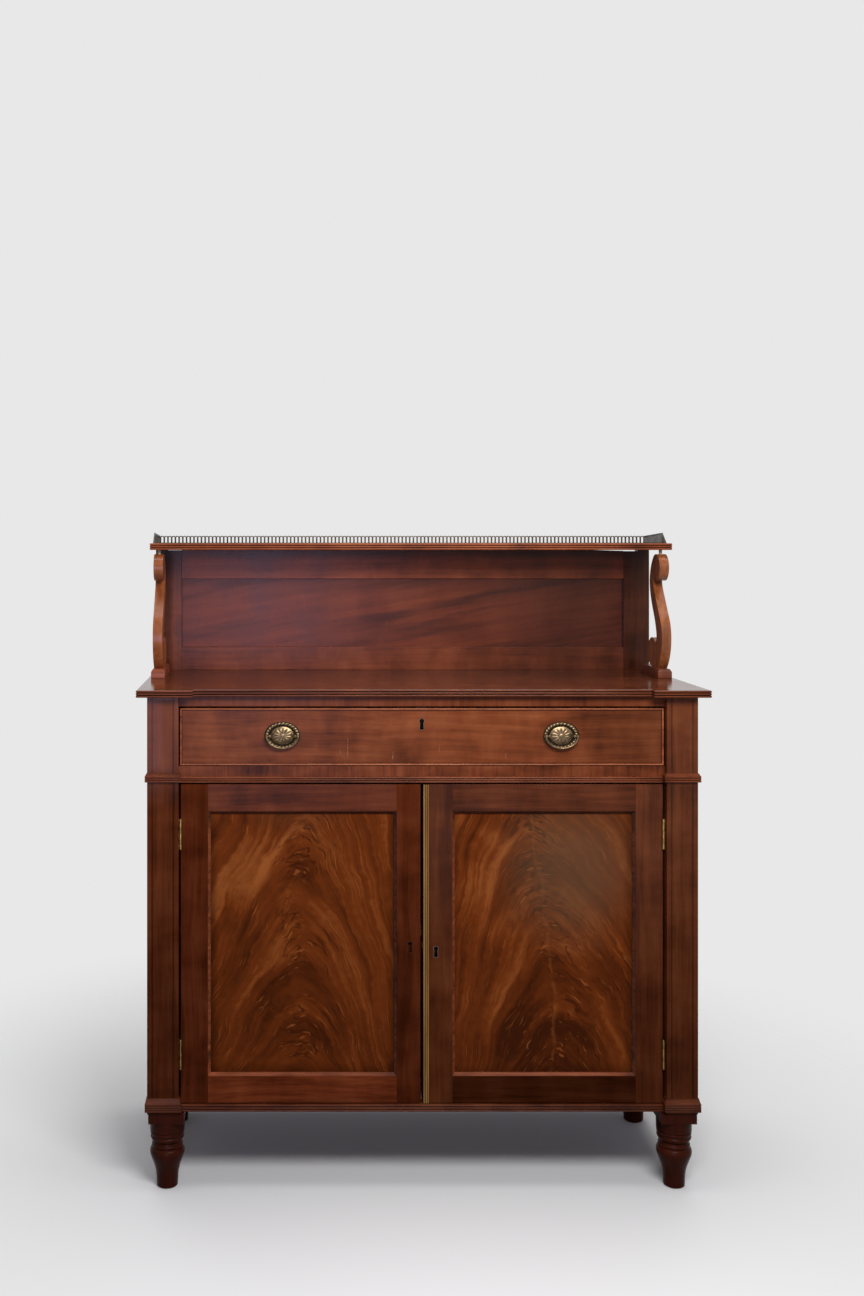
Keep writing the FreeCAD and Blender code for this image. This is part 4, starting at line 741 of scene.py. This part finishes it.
veneer = {
    "dark": (0.05, 0.0105, 0.0025), "mid": (0.155, 0.032, 0.0056), "light": (0.33, 0.096, 0.022),
    "bloom": (0.13, 0.07, 0.036), "bump": 0.02, "flareCore": 0.1,
    "flareWanders": ((8.0, (0.05, 0.0, 0.06)), (40.0, (0.014, 0.0, 0.02))),
}


def flarePatch(tree, parts, x, z, halfLength, halfWidth, tilt, lift):
    turn = math.radians(tilt)
    sideX, sideZ = calc(tree, "SUBTRACT", parts["X"], x), calc(tree, "SUBTRACT", parts["Z"], z)
    along = calc(tree, "MULTIPLY_ADD", sideX, math.cos(turn) / halfLength,
                 times(tree, sideZ, math.sin(turn) / halfLength))
    across = calc(tree, "MULTIPLY_ADD", sideX, -math.sin(turn) / halfWidth,
                  times(tree, sideZ, math.cos(turn) / halfWidth))
    away = calc(tree, "SQRT", calc(tree, "MULTIPLY_ADD", across, across, times(tree, along, along)))
    return band(tree, away, veneer["flareCore"], 1.0, lift, 0.0)


def makeDoorPanel(node, spec):
    inputs = {key.capitalize(): rgba(veneer[key]) for key in ("dark", "mid", "light")}
    inputs.update({"Spine": spec["spine"], "Lean": spec["lean"], "Seam": spec["seam"],
                   "Left Fall": spec["leftFall"], "Right Fall": spec["rightFall"]})
    made = newMaterial(pieceName(node) + "Flame", flameGroup, inputs, spec["gloss"], veneer["bump"])
    tree, vector = made["tree"], made["coords"]
    for wander in veneer["flareWanders"]:
        vector = warped(tree, vector, *wander)
    parts = split(tree, vector)
    flares = [flarePatch(tree, parts, *flare) for flare in spec["flares"]]
    feed(tree, made["surface"].inputs["Flare"], summed(tree, *flares))
    # a patch of painted reflection laid over the veneer
    overlaid(made, flarePatch(tree, parts, *spec["bloom"]), rgba(veneer["bloom"]))
    dress(node, finished(made, spec["grime"]))


for node, spec in doorPanels.items():
    makeDoorPanel(node, spec)
print("door panels done")


# oval handle plates: a leafy rim, a dark channel and a rosette on the boss;
# edges are shares of the plate's radius, rises and depths in metres

handlePlate = {
    "proportion": 67 / 52,  # width over height
    "segments": 208, "rings": 44, "ringsReach": 0.97, "sharpAngle": 50,
    "rimInner": 0.735, "rimOuter": 0.985, "rimBase": 0.0009, "rimRise": 0.0023, "crownPower": 0.7,
    "leaves": 26, "leafTwist": 1.3, "leafLowest": 0.5, "leafClean": 0.45,
    "channelDepth": 0.0008, "bossEdge": 0.655, "bossRise": 0.0031, "bossPower": 3,
    "bossDirtFrom": 0.95, "bossDirtGain": 20,
    "petals": 12, "petalRise": 0.0006, "petalEdge": 0.58, "petalSwing": 1.4,
    "petalHollow": 0.45, "petalEndHollow": 0.25,
    "budEdge": 0.15, "budRise": 0.0009,
    "tarnishBand": (0.2, 0.8, 0.0, 0.95), "wearBand": (0.0, 0.4, 0.65, 0.3),
}


def plateRelief(radius, angle, spec):
    # the height of the plate at a place, and how far that place lies in a hollow
    if radius >= spec["rimInner"]:
        part = (radius - spec["rimInner"]) / (spec["rimOuter"] - spec["rimInner"])
        crown = math.sin(math.pi * min(1.0, part)) ** spec["crownPower"]
        leaf = abs(math.sin(spec["leaves"] / 2 * angle + spec["leafTwist"] * (part - 0.5)))
        rise = crown * (spec["leafLowest"] + (1 - spec["leafLowest"]) * leaf)
        clean = crown * (spec["leafClean"] + (1 - spec["leafClean"]) * leaf)
        return spec["rimBase"] + spec["rimRise"] * rise, 1 - clean
    if radius >= spec["bossEdge"]:
        return spec["channelDepth"], 1.0
    part = radius / spec["bossEdge"]
    height = spec["channelDepth"] + spec["bossRise"] * (1 - part ** spec["bossPower"])
    hollow = max(0.0, part - spec["bossDirtFrom"]) * spec["bossDirtGain"]
    if radius <= spec["budEdge"]:
        height += spec["budRise"] * math.cos(radius / spec["budEdge"] * math.pi / 2)
    elif radius < spec["petalEdge"]:
        petal = abs(math.sin(spec["petals"] / 2 * angle))
        swell = math.sin(math.pi * (radius - spec["budEdge"]) / (spec["petalEdge"] - spec["budEdge"]))
        height += spec["petalRise"] * swell * spec["petalSwing"] * (petal - 0.5)
        hollow = max(hollow, spec["petalHollow"] * (1 - petal) * swell + spec["petalEndHollow"] * (1 - swell))
    return height, min(1.0, hollow)


def makeHandlePlates(spec):
    low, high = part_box("handle_plates")
    backY, centreZ = high.y, (low.z + high.z) / 2
    halfHeight = (high.z - low.z) / 2
    halfWidth = halfHeight * spec["proportion"]
    bm = bmesh.new()
    hollow = bm.verts.layers.float.new("hollow")
    bmesh.ops.create_circle(bm, cap_ends=True, segments=spec["segments"], radius=1.0)
    middle = bm.faces[:]
    for _ in range(spec["rings"]):
        bmesh.ops.inset_individual(
            bm, faces=middle, thickness=spec["ringsReach"] / spec["rings"], use_even_offset=True)
    bmesh.ops.poke(bm, faces=middle)
    rim = [edge for edge in bm.edges if edge.is_boundary]
    for vert in bm.verts:
        radius, angle = vert.co.xy.length, math.atan2(vert.co.y, vert.co.x)
        vert.co.z, vert[hollow] = plateRelief(radius, angle, spec)
    walls = bmesh.ops.extrude_edge_only(bm, edges=rim)["geom"]
    backVerts = [item for item in walls if isinstance(item, bmesh.types.BMVert)]
    for vert in backVerts:
        vert.co.z = 0.0
    bmesh.ops.contextual_create(bm, geom=backVerts)
    stand = Matrix(((halfWidth, 0, 0, 0), (0, 0, -1, 0), (0, halfHeight, 0, 0), (0, 0, 0, 1)))
    bmesh.ops.transform(bm, matrix=stand, verts=bm.verts)
    second = bmesh.ops.duplicate(bm, geom=bm.verts[:] + bm.edges[:] + bm.faces[:])["geom"]
    secondVerts = [item for item in second if isinstance(item, bmesh.types.BMVert)]
    reach = high.x - halfWidth
    bmesh.ops.translate(bm, verts=bm.verts, vec=(-reach, backY, centreZ))
    bmesh.ops.translate(bm, verts=secondVerts, vec=(2 * reach, 0, 0))
    bmesh.ops.recalc_face_normals(bm, faces=bm.faces)
    for face in bm.faces:
        face.smooth = True
    mesh = bpy.data.meshes.new("handlePlates")
    bm.to_mesh(mesh)
    bm.free()
    mesh.set_sharp_from_angle(angle=math.radians(spec["sharpAngle"]))
    made = brassMaterial("plateRelief", **brassLooks["plateBrass"])
    tree, inputs = made["tree"], made["surface"].inputs
    depth = addNode(tree, "ShaderNodeAttribute", attribute_name="hollow").outputs["Fac"]
    feed(tree, inputs["Hollow"], band(tree, depth, *spec["tarnishBand"]))
    feed(tree, inputs["Wear"], band(tree, depth, *spec["wearBand"]))
    mesh.materials.append(made["material"])
    piece = bpy.data.objects.new("handlePlates", mesh)
    scene.collection.objects.link(piece)
    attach(piece, "drawer")
    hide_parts("handle_plates")
    print("handle plates:", len(mesh.polygons), "faces")


makeHandlePlates(handlePlate)


# stage: a pale round floor that fades into a pale surround, soft lamps and the camera

stage = {
    "floorRadius": 1.5, "floorSegments": 96, "fadeFrom": 0.45, "fadeTo": 1.455,
    "floorSeen": 0.85, "floorBounce": 0.14, "roomSeen": 0.806, "roomLight": 0.16,
}


def grey(value):
    return rgba((value,) * 3)


def seenDirectly(tree):
    path = addNode(tree, "ShaderNodeLightPath").outputs
    direct = calc(tree, "MAXIMUM", path["Is Camera Ray"], path["Is Glossy Ray"])
    return calc(tree, "MAXIMUM", direct, path["Is Transmission Ray"])


def makeStage(spec):
    bm = bmesh.new()
    bmesh.ops.create_circle(bm, cap_ends=True, segments=spec["floorSegments"], radius=spec["floorRadius"])
    mesh = bpy.data.meshes.new("floor")
    bm.to_mesh(mesh)
    bm.free()
    floor = bpy.data.objects.new("floor", mesh)
    scene.collection.objects.link(floor)
    material = bpy.data.materials.new("floorPale")
    material.use_nodes = True
    tree = material.node_tree
    tree.nodes.remove(tree.nodes["Principled BSDF"])
    color = mixed(tree, seenDirectly(tree), grey(spec["floorBounce"]), grey(spec["floorSeen"]))
    matt = addNode(tree, "ShaderNodeBsdfDiffuse", {"Color": color}).outputs[0]
    clear = addNode(tree, "ShaderNodeBsdfTransparent").outputs[0]
    coords = addNode(tree, "ShaderNodeTexCoord").outputs["Object"]
    away = addNode(tree, "ShaderNodeVectorMath", {0: coords}, operation="LENGTH").outputs["Value"]
    fade = band(tree, away, spec["fadeFrom"], spec["fadeTo"])
    blend = addNode(tree, "ShaderNodeMixShader", {0: fade, 1: matt, 2: clear}).outputs[0]
    feed(tree, tree.nodes["Material Output"].inputs["Surface"], blend)
    mesh.materials.append(material)
    world = bpy.data.worlds.new("paleRoom")
    scene.world = world
    world.use_nodes = True
    tree = world.node_tree
    color = mixed(tree, seenDirectly(tree), grey(spec["roomLight"]), grey(spec["roomSeen"]))
    feed(tree, tree.nodes["Background"].inputs["Color"], color)


lamps = {
    "softBox": {"at": (0.3, -1.4, 1.75), "aim": (0.0, 0.0, 0.9), "size": (0.9, 0.5), "watts": 25,
                "tint": (1.0, 1.0, 1.0)},
    "topPanel": {"at": (0.0, 0.3, 4.5), "aim": (0.0, 0.0, 0.0), "size": (3.5, 3.0), "watts": 110,
                 "tint": (1.0, 1.0, 1.0)},
    "windowPanel": {"at": (-0.4, -3.5, 0.85), "aim": (-0.3, 0.0, 0.9), "size": (0.75, 1.05), "watts": 18,
                    "tint": (0.62, 0.6, 1.0)},
}


def makeLamps(spec):
    for name, lamp in spec.items():
        light = bpy.data.lights.new(name, "AREA")
        light.shape = "RECTANGLE"
        light.size, light.size_y = lamp["size"]
        light.energy = lamp["watts"]
        light.color = lamp["tint"]
        item = bpy.data.objects.new(name, light)
        item.location = lamp["at"]
        item.rotation_euler = (Vector(lamp["aim"]) - Vector(lamp["at"])).to_track_quat("-Z", "Y").to_euler()
        item.visible_camera = False
        scene.collection.objects.link(item)


view = {"at": (-0.271, -2.57, 1.1995), "tilt": 90, "lens": 35.64, "sensor": 36,
        "shiftX": 0.12, "shiftY": -0.0787}


def makeCamera(spec):
    camera = bpy.data.cameras.new("photoCamera")
    camera.sensor_fit = "AUTO"
    camera.sensor_width = spec["sensor"]
    camera.lens = spec["lens"]
    camera.shift_x, camera.shift_y = spec["shiftX"], spec["shiftY"]
    item = bpy.data.objects.new("photoCamera", camera)
    item.location = spec["at"]
    item.rotation_euler = (math.radians(spec["tilt"]), 0, 0)
    scene.collection.objects.link(item)
    scene.camera = item


makeStage(stage)
makeLamps(lamps)
makeCamera(view)
scene.view_settings.view_transform = "Standard"
print("stage, lamps and camera set")
